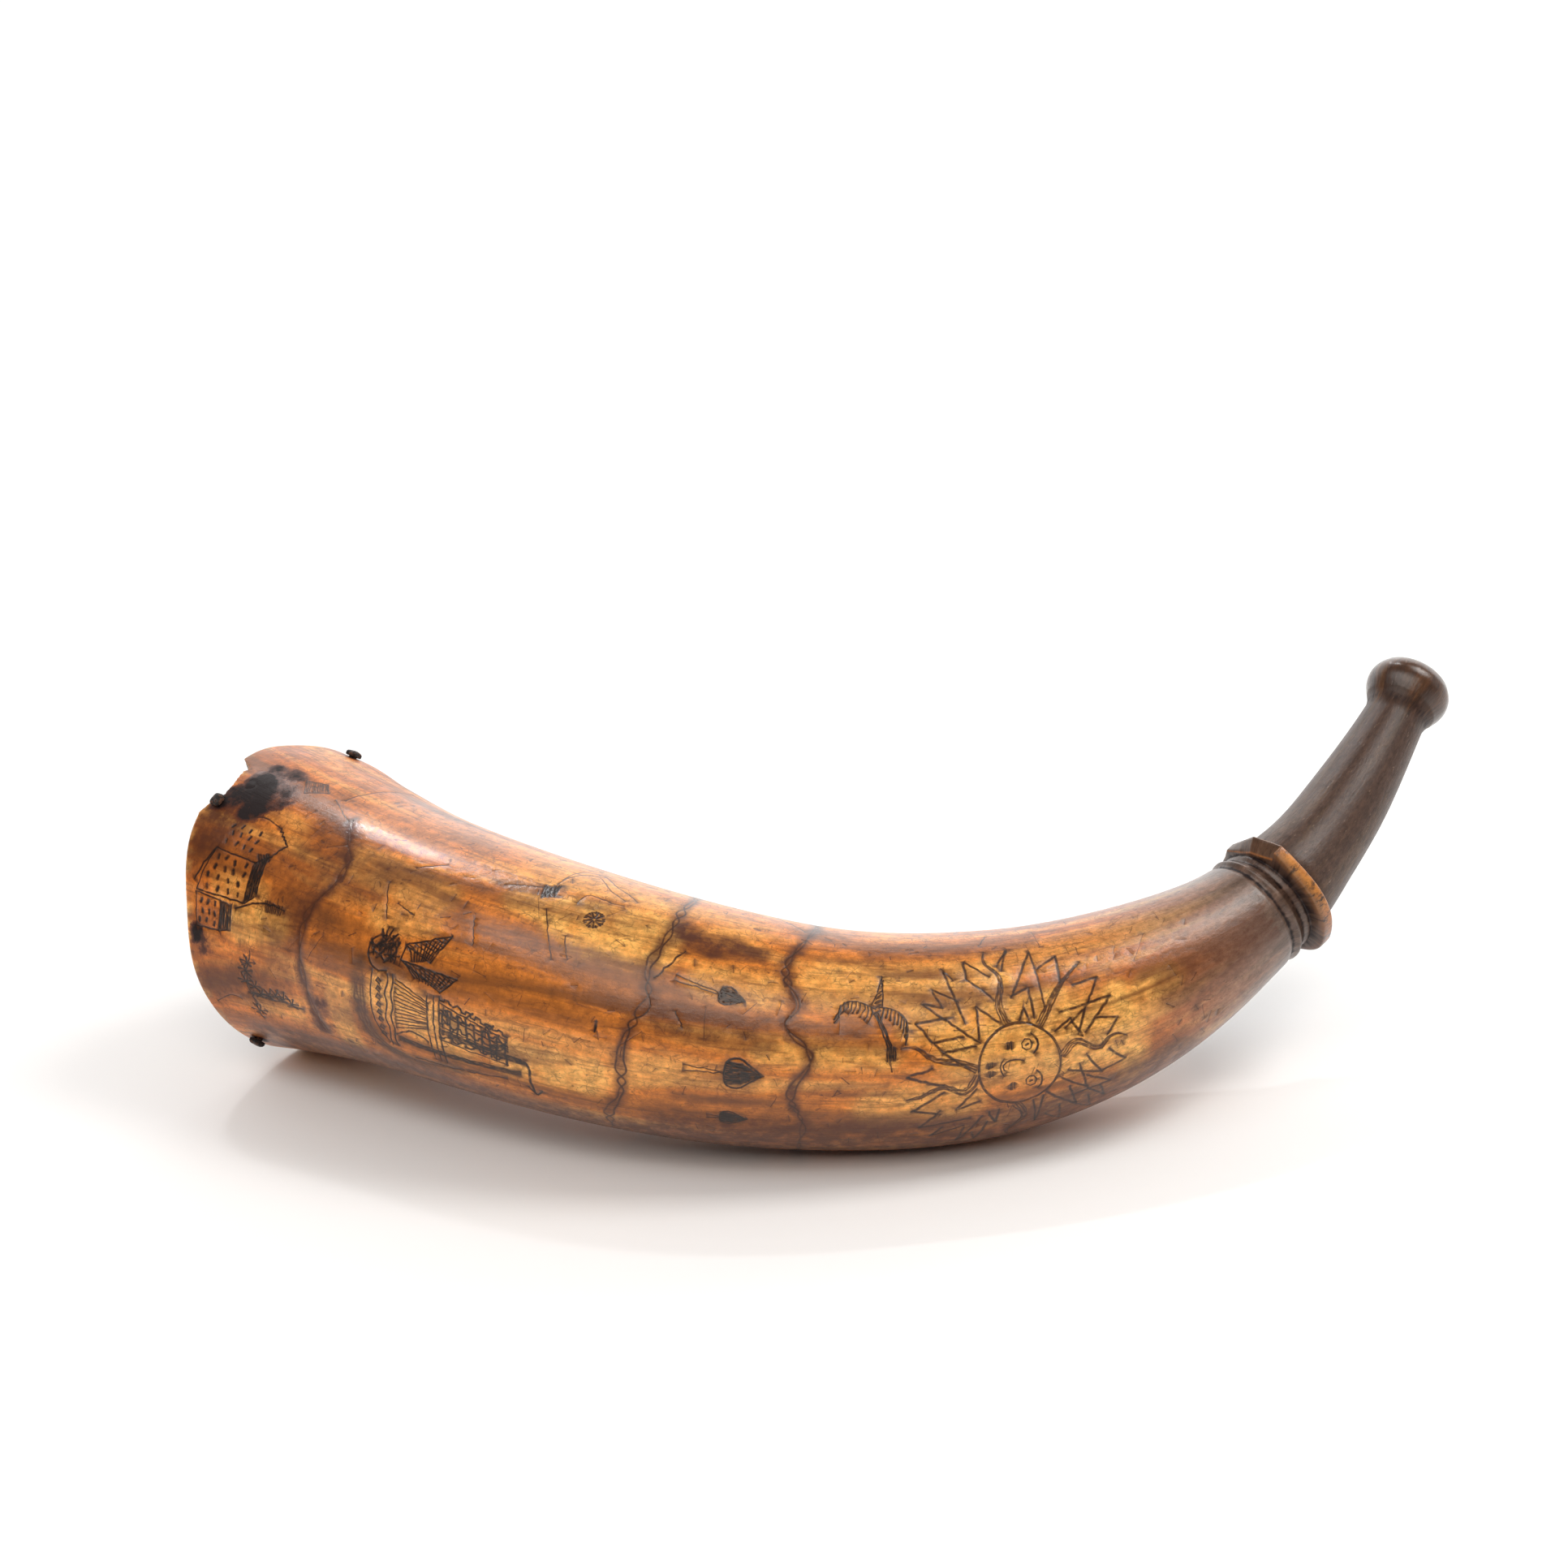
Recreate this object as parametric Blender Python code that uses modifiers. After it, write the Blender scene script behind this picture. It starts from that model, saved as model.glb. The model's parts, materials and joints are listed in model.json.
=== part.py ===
"""An engraved powder horn, lying on its side on two small flats.

One cattle horn, hollowed, sawn off at the butt and drilled through the tip, with a carved collar,
a slim neck and a round spout knob. A turned wooden plug sits inside the butt on iron nails.
Units are metres, +Z is up, and the origin is under the middle of the horn's box, on the floor.
"""

import math

import bmesh
import bpy
import numpy as np
from mathutils import Matrix, Vector

MM = 0.001

# Centre line of the horn from behind the saw cut to past the spout, in mm
CENTRE_LINE = np.array(
    [
        (-145.7, 48.6, 37.1),
        (-134.8, 36.9, 37.4),
        (-106.9, 8.2, 38.0),
        (-76.0, -17.1, 36.5),
        (-40.3, -34.7, 31.9),
        (-1.4, -41.8, 26.5),
        (38.5, -38.7, 24.9),
        (76.1, -26.5, 30.7),
        (109.0, -5.3, 42.8),
        (132.6, 20.9, 59.4),
        (154.5, 52.3, 81.0),
    ]
)
BUTT_SPARE = 16.0

# Outer radius against the distance along the centre line from the saw cut, in mm
GIRTH = np.array(
    [
        (-16, 38.9),
        (0, 38.5),
        (5, 38.1),
        (16, 36.2),
        (24, 35.0),
        (46, 32.2),
        (60, 31.3),
        (100, 29.8),
        (140, 27.7),
        (160, 26.4),
        (197, 24.7),
        (212, 23.3),
        (226, 21.7),
        (254, 17.2),
        (266, 15.1),
        (287, 12.8),
        (294, 11.8),
        (312, 10.4),
        (341, 7.9),
        (360, 7.0),
    ]
)

# Hand-cut section at the butt: degrees round from the top, and extra radius in mm that fades inwards
BUTT_FORM = ((-45, 0.1), (-16, -1.2), (3, 0.1), (28, 0.8), (49, 1.3), (74, -1.2), (97, -0.2), (115, 0.1))
BUTT_FORM_PLAIN = (135, 165, 195, 225, 255, 285)
BUTT_FORM_FADE = 34.0

# Wall thickness against the same distance, then the drilled passage under the collar and its radius, in mm
WALL = np.array([(-24, 5.4), (30, 5.4), (80, 5.0), (140, 4.3), (180, 2.9), (220, 2.5), (250, 2.7), (267, 3.0)])
HOLLOW_END = 267.0
PASSAGE = np.array([(280, 7.5), (300, 6.8), (330, 5.2), (345, 3.9), (352, 3.0), (372, 3.0)])

# The saw cut across the butt
RIM_OUT = Vector((-0.7774, 0.6074, -0.1634)).normalized()

# Turned beads before the collar: distance, height and spread in mm
BEADS = ((271.6, -0.5, 0.9), (273.4, 0.55, 0.8), (275.6, -0.6, 1.0))

# Knob at the tip: radius against distance in mm, the last being the edge of the cut end
KNOB = np.array(
    [
        (342.5, 7.95),
        (344.2, 8.25),
        (346.2, 9.2),
        (348.0, 10.1),
        (349.6, 10.6),
        (351.2, 10.7),
        (352.8, 10.35),
        (354.2, 9.6),
        (355.2, 8.7),
        (355.9, 7.5),
        (356.4, 6.0),
        (356.6, 4.6),
    ]
)

# Collar: its place, and the radius round it with the corners of the lug first, in mm
COLLAR_FROM = 277.8
COLLAR_THICK = 3.2
COLLAR_CHAMFER = 0.4
LUG_CORNERS = ((-50, 14.8), (-37, 15.8), (-3, 18.0), (24, 19.7))
LUG_BEVEL = 3.6
COLLAR_ROUND = ((24, 19.7), (41, 18.5), (66, 18.3), (92, 18.0), (112, 17.5), (130, 17.2), (143, 16.3), (156, 15.3))
COLLAR_LOW = 14.9

# Break in the rim: degrees round from the top, and mm in from the saw cut
BREAK = ((9, -1.5), (11.5, 1.2), (14.5, 5.0), (17, 4.3), (24, 4.8), (29, 4.6), (34, 2.4), (38, 0.8), (50, -1.5))
BREAK_MIDDLE = 26.0

# Wooden plug, in mm below the rim's plane
PLUG_BELOW_RIM = 2.6
PLUG_THICK = 32.0
PLUG_DOME = 1.8
PLUG_GROOVE = 22.0
GAP = 0.3

# Iron nails: degrees round from the top, and mm in from the saw cut
NAILS = ((33, 4.6), (138.5, 4.8), (207, 6.5), (265, 8.0), (324.5, 9.4))
NAIL_SHANK = 1.6
NAIL_LENGTH = 11.0
NAIL_HEAD = 3.3
NAIL_HEAD_HEIGHT = 1.5

# Facets round the outside and the inside
OUTER_SIDES = 32
INNER_SIDES = 24


def clear_scene():
    for item in list(bpy.data.objects):
        bpy.data.objects.remove(item, do_unlink=True)


def collection_named(name):
    made = bpy.data.collections.new(name)
    bpy.context.scene.collection.children.link(made)
    return made


def material_named(name, colour, roughness, metallic=0.0):
    material = bpy.data.materials.new(name)
    material.use_nodes = True
    shader = material.node_tree.nodes["Principled BSDF"]
    shader.inputs["Base Color"].default_value = (*colour, 1.0)
    shader.inputs["Roughness"].default_value = roughness
    shader.inputs["Metallic"].default_value = metallic
    return material


def natural_spline(knots, values, wanted):
    """The cubic curve through the values that is straight at both ends, read at the wanted places."""
    gap = np.diff(knots)[:, None]
    slope = np.diff(values, axis=0) / gap
    system = np.eye(len(knots))
    right = np.zeros_like(values)
    for i in range(1, len(knots) - 1):
        system[i, i - 1 : i + 2] = gap[i - 1, 0], 2 * (gap[i - 1, 0] + gap[i, 0]), gap[i, 0]
        right[i] = 6 * (slope[i] - slope[i - 1])
    bend = np.linalg.solve(system, right)
    i = np.clip(np.searchsorted(knots, wanted) - 1, 0, len(gap) - 1)
    width = gap[i]
    after = (np.asarray(wanted)[:, None] - knots[i, None]) / width
    before = 1 - after
    curve = (before**3 - before) * bend[i] + (after**3 - after) * bend[i + 1]
    return before * values[i] + after * values[i + 1] + curve * width**2 / 6


def table_at(table, wanted):
    """One column of a table as a smooth curve, read at the wanted places."""
    return natural_spline(table[:, 0], table[:, 1:], np.atleast_1d(np.asarray(wanted, float)))[:, 0]


STEPS = np.linalg.norm(np.diff(CENTRE_LINE, axis=0), axis=1)
STATIONS = np.concatenate([[0.0], np.cumsum(STEPS)]) - BUTT_SPARE


def centre_at(distances):
    return natural_spline(STATIONS, CENTRE_LINE, np.atleast_1d(distances))


def frame_at(distance):
    """Centre, direction towards the tip, the most upright direction square to it, and the third one."""
    ends = centre_at([distance - 0.5, distance, distance + 0.5])
    along = Vector(ends[2] - ends[0]).normalized()
    up = Vector((0, 0, 1))
    up = (up - along * along.z).normalized()
    return Vector(ends[1]), along, up, along.cross(up)


def butt_form(degrees):
    """Extra radius at the saw cut, from a smooth closed curve through the given angles."""
    turns = np.array([*BUTT_FORM, *((a, 0.0) for a in BUTT_FORM_PLAIN)])
    closed = np.concatenate([turns + (360 * lap, 0) for lap in (-1, 0, 1)])
    return float(table_at(closed, degrees)[0])


def outer_radius(distance, degrees):
    """The skin's radius in mm: girth, turned beads and knob, with the hand-cut section at the butt."""
    if distance > KNOB[0, 0]:
        return float(table_at(KNOB, distance)[0])
    radius = float(table_at(GIRTH, distance)[0])
    for place, height, spread in BEADS:
        radius += height * math.exp(-(((distance - place) / spread) ** 2))
    fade = max(0.0, 1 - max(distance, 0) / BUTT_FORM_FADE)
    return radius + fade * fade * (3 - 2 * fade) * butt_form(degrees)


def inner_radii(distances):
    """The hollow's radii in mm: the girth less the wall, closing to the passage under the collar."""
    wall = np.interp(distances, WALL[:, 0], WALL[:, 1])
    hollow = table_at(GIRTH, np.minimum(distances, HOLLOW_END)) - wall
    passage = np.interp(distances, PASSAGE[:, 0], PASSAGE[:, 1])
    closing = np.clip((distances - HOLLOW_END) / (PASSAGE[0, 0] - HOLLOW_END), 0, 1)
    return hollow + (passage - hollow) * np.sqrt(closing * (2 - closing))


def skin_point(degrees, distance):
    """The point on the outer skin at an angle and a distance, with the outward direction there."""
    centre, _, up, side = frame_at(distance)
    turn = math.radians(degrees)
    out = up * math.cos(turn) + side * math.sin(turn)
    return centre + out * outer_radius(distance, degrees), out


def rim_distance(degrees, inset):
    """How far along the centre line the skin lies a given depth inside the saw cut."""
    start = frame_at(0.0)[0]
    low, high = -16.0, 60.0
    for _ in range(30):
        middle = (low + high) / 2
        depth = -(skin_point(degrees, middle)[0] - start).dot(RIM_OUT)
        low, high = (middle, high) if depth < inset else (low, middle)
    return middle


def placement(origin, x_axis, y_axis, z_axis):
    """World matrix with the given axes, from an origin in mm."""
    matrix = Matrix((x_axis, y_axis, z_axis)).transposed().to_4x4()
    matrix.translation = origin * MM
    return matrix


def axes_from(z_axis, hint):
    """Two more axes for a given one, the first as near the hint as can be."""
    x_axis = (hint - z_axis * hint.dot(z_axis)).normalized()
    return x_axis, z_axis.cross(x_axis), z_axis


def mesh_object(name, mesh, matrix, material, home):
    made = bpy.data.objects.new(name, mesh)
    made.matrix_world = matrix
    home.objects.link(made)
    mesh.materials.clear()
    if material:
        mesh.materials.append(material)
    return made


def object_from_bmesh(name, work, matrix, material, home):
    bmesh.ops.recalc_face_normals(work, faces=work.faces)
    mesh = bpy.data.meshes.new(name)
    work.to_mesh(mesh)
    work.free()
    return mesh_object(name, mesh, matrix, material, home)


def object_from_curve(curve, name, matrix, material, home):
    """A curve's solid as a mesh object, with its caps welded on."""
    guide = bpy.data.objects.new(name + "_curve", curve)
    guide.matrix_world = matrix
    bpy.context.scene.collection.objects.link(guide)
    bpy.context.view_layer.update()
    evaluated = guide.evaluated_get(bpy.context.evaluated_depsgraph_get())
    mesh = bpy.data.meshes.new_from_object(evaluated)
    work = bmesh.new()
    work.from_mesh(mesh)
    bmesh.ops.remove_doubles(work, verts=work.verts, dist=0.000001)
    matrix_world = guide.matrix_world.copy()
    bpy.data.objects.remove(guide, do_unlink=True)
    bpy.data.meshes.remove(mesh)
    return object_from_bmesh(name, work, matrix_world, material, home)


def swept_tube(name, distances, radii, sides, material, home):
    """A round tube along the centre line, with its own radius at each point."""
    curve = bpy.data.curves.new(name, "CURVE")
    curve.dimensions = "3D"
    curve.bevel_depth = MM
    curve.bevel_resolution = (sides - 4) // 2
    curve.use_fill_caps = True
    spline = curve.splines.new("POLY")
    spline.points.add(len(distances) - 1)
    for point, centre, radius in zip(spline.points, centre_at(distances), radii):
        point.co = (*(centre * MM), 1)
        point.radius = radius
    return object_from_curve(curve, name, Matrix(), material, home)


def flat_solid(name, outline, thickness, chamfer, matrix, home):
    """A closed outline in mm, filled and given a thickness either side of its plane."""
    curve = bpy.data.curves.new(name, "CURVE")
    curve.dimensions = "2D"
    curve.fill_mode = "BOTH"
    curve.extrude = (thickness / 2 - chamfer) * MM
    curve.bevel_depth = chamfer * MM
    curve.bevel_resolution = 0
    curve.offset = -chamfer * MM
    spline = curve.splines.new("POLY")
    spline.points.add(len(outline) - 1)
    spline.use_cyclic_u = True
    for point, (x, y) in zip(spline.points, outline):
        point.co = (x * MM, y * MM, 0, 1)
    return object_from_curve(curve, name, matrix, None, home)


def turned(name, profile, steps, matrix, material, home):
    """A profile of radius and height in mm, running down its outer side, spun round Z."""
    mesh = bpy.data.meshes.new(name)
    edges = [(i, i + 1) for i in range(len(profile) - 1)]
    mesh.from_pydata([(radius * MM, 0, height * MM) for radius, height in profile], edges, [])
    made = mesh_object(name, mesh, matrix, material, home)
    screw = made.modifiers.new("Turn", "SCREW")
    screw.axis = "Z"
    screw.steps = screw.render_steps = steps
    screw.use_merge_vertices = True
    screw.merge_threshold = 0.00001
    return made


def box(name, size, matrix, home):
    """A box of the given size in mm, standing on its own origin and reaching along its +Z."""
    work = bmesh.new()
    bmesh.ops.create_cube(work, size=1.0)
    shape = Matrix.Diagonal((*(length * MM for length in size), 1))
    lift = Matrix.Translation((0, 0, size[2] * MM / 2))
    bmesh.ops.transform(work, matrix=lift @ shape, verts=work.verts)
    return object_from_bmesh(name, work, matrix, None, home)


def cut(target, tool, cutters, operation="DIFFERENCE"):
    """Cut or join a tool, which then becomes a hidden guide in the cutters' collection."""
    modifier = target.modifiers.new(f"{operation.title()} {tool.name}", "BOOLEAN")
    modifier.operation = operation
    modifier.solver = "EXACT"
    modifier.object = tool
    for home in list(tool.users_collection):
        home.objects.unlink(tool)
    cutters.objects.link(tool)
    tool.hide_render = True
    tool.display_type = "WIRE"


def outer_distances():
    """Close points where the form changes fast, and wide ones along the plain horn."""
    runs = (
        np.linspace(-BUTT_SPARE, 14, 7),
        np.linspace(20, 252, 30),
        np.linspace(258, 270, 4),
        np.arange(270.6, 277.2, 0.6),
        np.linspace(278, 290, 4),
        np.linspace(296, 340, 8),
        KNOB[:, 0],
    )
    return np.concatenate(runs)


def make_body(material, home):
    """The outside of the horn: a loft, because its sections go from hand-cut to round."""
    work = bmesh.new()
    rings = []
    for distance in outer_distances():
        ring = []
        for degrees in np.arange(OUTER_SIDES) * 360 / OUTER_SIDES:
            point, _ = skin_point(degrees, distance)
            ring.append(work.verts.new(point * MM))
        rings.append(ring)
    for low, high in zip(rings, rings[1:]):
        for i in range(OUTER_SIDES):
            work.faces.new((low[i], low[i - 1], high[i - 1], high[i]))
    work.faces.new(rings[0])
    work.faces.new(rings[-1][::-1])
    return object_from_bmesh("horn", work, Matrix(), material, home)


def collar_outline():
    """Three straight facets on the lug, and a smooth curve round the rest."""
    low = [(degrees, COLLAR_LOW) for degrees in (172, 200, 255, 310)]
    turns = np.concatenate([np.arange(30, 160, 8), np.arange(168, 310, 14)])
    polar = [*LUG_CORNERS, *zip(turns, table_at(np.array([*COLLAR_ROUND, *low]), turns))]
    return [(r * math.cos(math.radians(a)), r * math.sin(math.radians(a))) for a, r in polar]


def make_collar(home, cutters):
    """The raised collar, with the lug's middle facet sloped down towards the butt."""
    centre, along, up, side = frame_at(COLLAR_FROM + COLLAR_THICK / 2)
    place = placement(centre, up, side, along)
    collar = flat_solid("collar", collar_outline(), COLLAR_THICK, COLLAR_CHAMFER, place, home)

    front = centre + along * (COLLAR_THICK / 2 - COLLAR_CHAMFER)
    ends = []
    for degrees, radius in LUG_CORNERS[2:]:
        turn = math.radians(degrees)
        ends.append(front + (up * math.cos(turn) + side * math.sin(turn)) * radius)
    chord = ends[1] - ends[0]
    facing = (chord.cross(along).normalized() * COLLAR_THICK - along * LUG_BEVEL).normalized()
    slope = placement((ends[0] + ends[1]) / 2, *axes_from(facing, chord))
    cut(collar, box("lug_slope", (chord.length, 14, 8), slope, home), cutters)
    return collar


def make_hollow(home):
    distances = np.array([*np.linspace(-24, HOLLOW_END, 30), 269, 272, 276, 280, 300, 330, 345, 352, 372])
    return swept_tube("hollow", distances, inner_radii(distances), INNER_SIDES, None, home)


def make_break(home):
    """The ragged line of the break, as a flat outline that passes through the wall."""
    middle, out = skin_point(BREAK_MIDDLE, rim_distance(BREAK_MIDDLE, 2.0))
    x_axis, y_axis, _ = axes_from(out, RIM_OUT)
    outline = []
    for degrees, inset in (*BREAK, (BREAK[-1][0], -9.0), (BREAK[0][0], -9.0)):
        place = skin_point(degrees, rim_distance(degrees, inset))[0] - middle
        outline.append((place.dot(x_axis), place.dot(y_axis)))
    return flat_solid("rim_break", outline, 22.0, 0.0, placement(middle, x_axis, y_axis, out), home)


def make_horn(material, home, cutters):
    """The horn itself: joined to its collar, then hollowed, sawn, chipped and set down."""
    horn = make_body(material, home)
    cut(horn, make_collar(home, cutters), cutters, "UNION")
    cut(horn, make_hollow(home), cutters)
    saw_place = placement(frame_at(0.0)[0], *axes_from(RIM_OUT, Vector((0, 0, 1))))
    cut(horn, box("saw_cut", (120, 120, 60), saw_place, home), cutters)
    cut(horn, make_break(home), cutters)
    cut(horn, box("floor", (700, 500, 30), Matrix.Translation((0, 0, -30 * MM)), home), cutters)
    return horn


def plug_profile():
    """Half the plug's blank: a low dome with one turned groove, straight sides and a flat back."""
    reach = 42.0
    back = -PLUG_BELOW_RIM - PLUG_THICK
    profile = []
    for radius in (0.0, 7.0, 14.0, PLUG_GROOVE - 1.2, PLUG_GROOVE, PLUG_GROOVE + 1.2, 29.0, 36.0):
        height = -PLUG_BELOW_RIM + PLUG_DOME * (1 - (radius / 36.0) ** 2)
        profile.append((radius, height - (0.9 if radius == PLUG_GROOVE else 0.0)))
    return [*profile, (reach, -PLUG_BELOW_RIM), (reach, back), (0.0, back)]


def make_plug(material, home, cutters):
    """A turned blank, trimmed to the hollow less a small gap."""
    distances = np.linspace(-BUTT_SPARE, 50, 14)
    plug = swept_tube("base_plug", distances, inner_radii(distances) - GAP, INNER_SIDES, material, home)
    place = placement(frame_at(0.0)[0], *axes_from(RIM_OUT, Vector((0, 0, 1))))
    cut(plug, turned("turned_blank", plug_profile(), 48, place, None, home), cutters, "INTERSECT")
    return plug


def nail_profile():
    """Half a hand-forged nail: a low head over a shank that tapers to a point."""
    corner = math.sqrt(2) / 2
    head = NAIL_HEAD * corner
    shank = NAIL_SHANK * corner
    top = GAP + NAIL_HEAD_HEIGHT
    tip = -NAIL_LENGTH
    return [
        (0, top),
        (head * 0.5, top),
        (head, top - 0.6),
        (head, GAP),
        (shank, GAP),
        (shank, tip * 0.6),
        (0.4, tip),
        (0, tip),
    ]


def make_nails(material, home, cutters, drilled):
    """The nails, and the square clearance holes that they stand in."""
    width = NAIL_SHANK + 2 * GAP
    square = Matrix.Rotation(math.radians(45), 4, "Z")
    for number, (degrees, inset) in enumerate(NAILS, 1):
        distance = rim_distance(degrees, inset)
        point, out = skin_point(degrees, distance)
        place = placement(point, *axes_from(out, -frame_at(distance)[1]))
        turned(f"iron_nail_{number}", nail_profile(), 4, place @ square, material, home)
        depth = NAIL_LENGTH + GAP
        for item in drilled:
            start = place @ Matrix.Translation((0, 0, -depth * MM))
            cut(item, box(f"nail_hole_{number}", (width, width, depth + 4), start, home), cutters)


def shade(item):
    item.data.shade_smooth()
    item.data.set_sharp_from_angle(angle=math.radians(35))


def main():
    clear_scene()
    home = collection_named("powder_horn")
    cutters = collection_named("cutters")
    horn_finish = material_named("polished_horn", (0.42, 0.17, 0.035), 0.3)
    wood_finish = material_named("old_wood", (0.16, 0.075, 0.03), 0.6)
    iron_finish = material_named("forged_iron", (0.03, 0.026, 0.024), 0.65, 0.8)
    horn = make_horn(horn_finish, home, cutters)
    plug = make_plug(wood_finish, home, cutters)
    make_nails(iron_finish, home, cutters, (horn, plug))
    shade(horn)
    shade(plug)


main()
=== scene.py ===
# %% [markdown]
# # An engraved powder horn
# A powder horn is one cattle horn: hollow at the wide end, solid at the tip, sawn, drilled and polished.
# Somebody has scratched pictures into it and rubbed soot into the lines. The solid model already fixes the
# sizes. This script gives it the skin of the real thing: a smooth surface worked out from named measures,
# true engraved grooves, and finishes for horn, wood and iron.
#
# We open the imported model first. The dressed model may not outgrow it.

import json

import bmesh
import bpy
import numpy as np
from mathutils import Matrix, Vector
from mathutils.geometry import delaunay_2d_cdt

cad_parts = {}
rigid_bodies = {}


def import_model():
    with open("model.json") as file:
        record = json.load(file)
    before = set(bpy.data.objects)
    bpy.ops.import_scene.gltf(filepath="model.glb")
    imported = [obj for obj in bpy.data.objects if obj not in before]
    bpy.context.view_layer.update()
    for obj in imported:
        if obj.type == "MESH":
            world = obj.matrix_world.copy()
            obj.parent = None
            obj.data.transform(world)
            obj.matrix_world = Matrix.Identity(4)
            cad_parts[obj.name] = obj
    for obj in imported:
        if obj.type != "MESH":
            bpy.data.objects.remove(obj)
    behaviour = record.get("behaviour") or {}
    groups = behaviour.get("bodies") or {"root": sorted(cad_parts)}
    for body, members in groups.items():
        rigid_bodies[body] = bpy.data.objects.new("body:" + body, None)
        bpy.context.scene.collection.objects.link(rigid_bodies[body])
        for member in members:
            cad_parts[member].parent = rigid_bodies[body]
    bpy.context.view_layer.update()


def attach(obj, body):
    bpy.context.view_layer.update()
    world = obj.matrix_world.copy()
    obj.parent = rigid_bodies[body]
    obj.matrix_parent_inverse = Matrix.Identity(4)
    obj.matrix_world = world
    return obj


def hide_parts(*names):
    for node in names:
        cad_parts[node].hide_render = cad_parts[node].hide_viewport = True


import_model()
MM = 0.001

# %% [markdown]
# ## The camera
# The photograph is taken from about a metre away, a little above the horn, through a long lens. A long lens
# keeps the near butt from looking swollen. The three directions below are the camera's right, up and
# forward.

# %% Camera
EYE = Vector((-0.00926, -0.99901, 0.47477))
VIEW_RIGHT = Vector((0.99871, -0.01888, -0.04724))
VIEW_UP = Vector((0.05087, 0.37059, 0.9274))
VIEW_FORWARD = Vector((0.0, 0.9286, -0.37107))

LONG_LENS = 102.08


def put(name, data):
    """A new object in the scene."""
    made = bpy.data.objects.new(name, data)
    bpy.context.scene.collection.objects.link(made)
    return made


camera_data = bpy.data.cameras.new("camera")
camera_data.lens = LONG_LENS
camera_data.sensor_width = 36.0
camera = put("camera", camera_data)
turned_axes = Matrix((VIEW_RIGHT, VIEW_UP, -VIEW_FORWARD)).transposed()
camera.matrix_world = Matrix.Translation(EYE) @ turned_axes.to_4x4()
bpy.context.scene.camera = camera
print("camera", round(EYE.length, 3), "m from the horn's middle")

# %% [markdown]
# ## One smooth curve through a few measures
# A horn has no straight line and no circle on it. A boatbuilder would mark a few widths and lay a thin
# spline of wood through them. The natural cubic curve is that spline in numbers: its bends are the solution
# of one small set of equations, and it is straight at both ends. The shapes below are read from such
# curves.

# %% Smooth curves
def smooth(knots, values, wanted):
    """Cubic through all values whose slope and bend agree at every knot, read at the wanted places."""
    knots, wanted = np.asarray(knots, float), np.asarray(wanted, float)
    values = np.asarray(values, float).reshape(len(knots), -1)
    gap = np.diff(knots)
    slope = np.diff(values, axis=0) / gap[:, None]
    system, right = np.eye(len(knots)), np.zeros_like(values)
    inner = np.arange(1, len(knots) - 1)
    system[inner, inner - 1] = gap[:-1]
    system[inner, inner] = 2 * (gap[:-1] + gap[1:])
    system[inner, inner + 1] = gap[1:]
    right[1:-1] = 6 * np.diff(slope, axis=0)
    bend = np.linalg.solve(system, right)
    flat = wanted.ravel()
    i = np.clip(np.searchsorted(knots, flat) - 1, 0, len(gap) - 1)
    width = gap[i][:, None]
    after = (flat - knots[i])[:, None] / width
    before = 1 - after
    sag = (before**3 - before) * bend[i] + (after**3 - after) * bend[i + 1]
    found = before * values[i] + after * values[i + 1] + sag * width**2 / 6
    return found.reshape(wanted.shape + (values.shape[1],))


def table(rows, wanted):
    """Second column of a table as a smooth curve of the first."""
    rows = np.asarray(rows, float)
    return smooth(rows[:, 0], rows[:, 1], wanted)[..., 0]


def ease(x):
    """The S curve 3x^2 - 2x^3 between 0 and 1."""
    x = np.clip(x, 0, 1)
    return x * x * (3 - 2 * x)


def length_along(points):
    """Length of a line of points from its start to each of them."""
    return np.append(0, np.cumsum(np.linalg.norm(np.diff(points, axis=0), axis=1)))


def evenly(points, length, count):
    """The same line with its points at even steps of its length."""
    steps = np.linspace(0, length[-1], count)
    return np.stack([np.interp(steps, length, column) for column in points.T], -1)


# %% [markdown]
# ## The horn's measures
# These are the driving sizes that the solid model is made from too, in millimetres: the bent centre line,
# the girth along it, the wall, and the hand-cut corners near the saw cut. A place on the skin is then two
# numbers: the distance along the centre line from the saw cut, and the turn round it in degrees from the
# top.

# %% Measures of the horn
CENTRE_LINE = (
    (-145.7, 48.6, 37.1),
    (-134.8, 36.9, 37.4),
    (-106.9, 8.2, 38.0),
    (-76.0, -17.1, 36.5),
    (-40.3, -34.7, 31.9),
    (-1.4, -41.8, 26.5),
    (38.5, -38.7, 24.9),
    (76.1, -26.5, 30.7),
    (109.0, -5.3, 42.8),
    (132.6, 20.9, 59.4),
    (154.5, 52.3, 81.0),
)
BUTT_SPARE = 16.0
GIRTH = (
    (-16, 38.9), (0, 38.5), (5, 38.1), (16, 36.2), (24, 35.0), (46, 32.2), (60, 31.3), (100, 29.8),
    (140, 27.7), (160, 26.4), (197, 24.7), (212, 23.3), (226, 21.7), (254, 17.2), (266, 15.1),
    (287, 12.8), (294, 11.8), (312, 10.4), (341, 7.9), (360, 7.0),
)
BUTT_FORM = ((-45, 0.1), (-16, -1.2), (3, 0.1), (28, 0.8), (49, 1.3), (74, -1.2), (97, -0.2), (115, 0.1))
BUTT_PLAIN = (135, 165, 195, 225, 255, 285)
BUTT_FADE = 34.0
WALL = ((-24, 5.4), (30, 5.4), (80, 5.0), (140, 4.3), (180, 2.9), (220, 2.5), (250, 2.7), (267, 3.0))
HOLLOW_END = 267.0
PASSAGE = ((280, 7.5), (300, 6.8), (330, 5.2), (345, 3.9), (352, 3.0), (372, 3.0))
BEADS = ((271.6, -0.5, 0.9), (273.4, 0.55, 0.8), (275.6, -0.6, 1.0))
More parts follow.
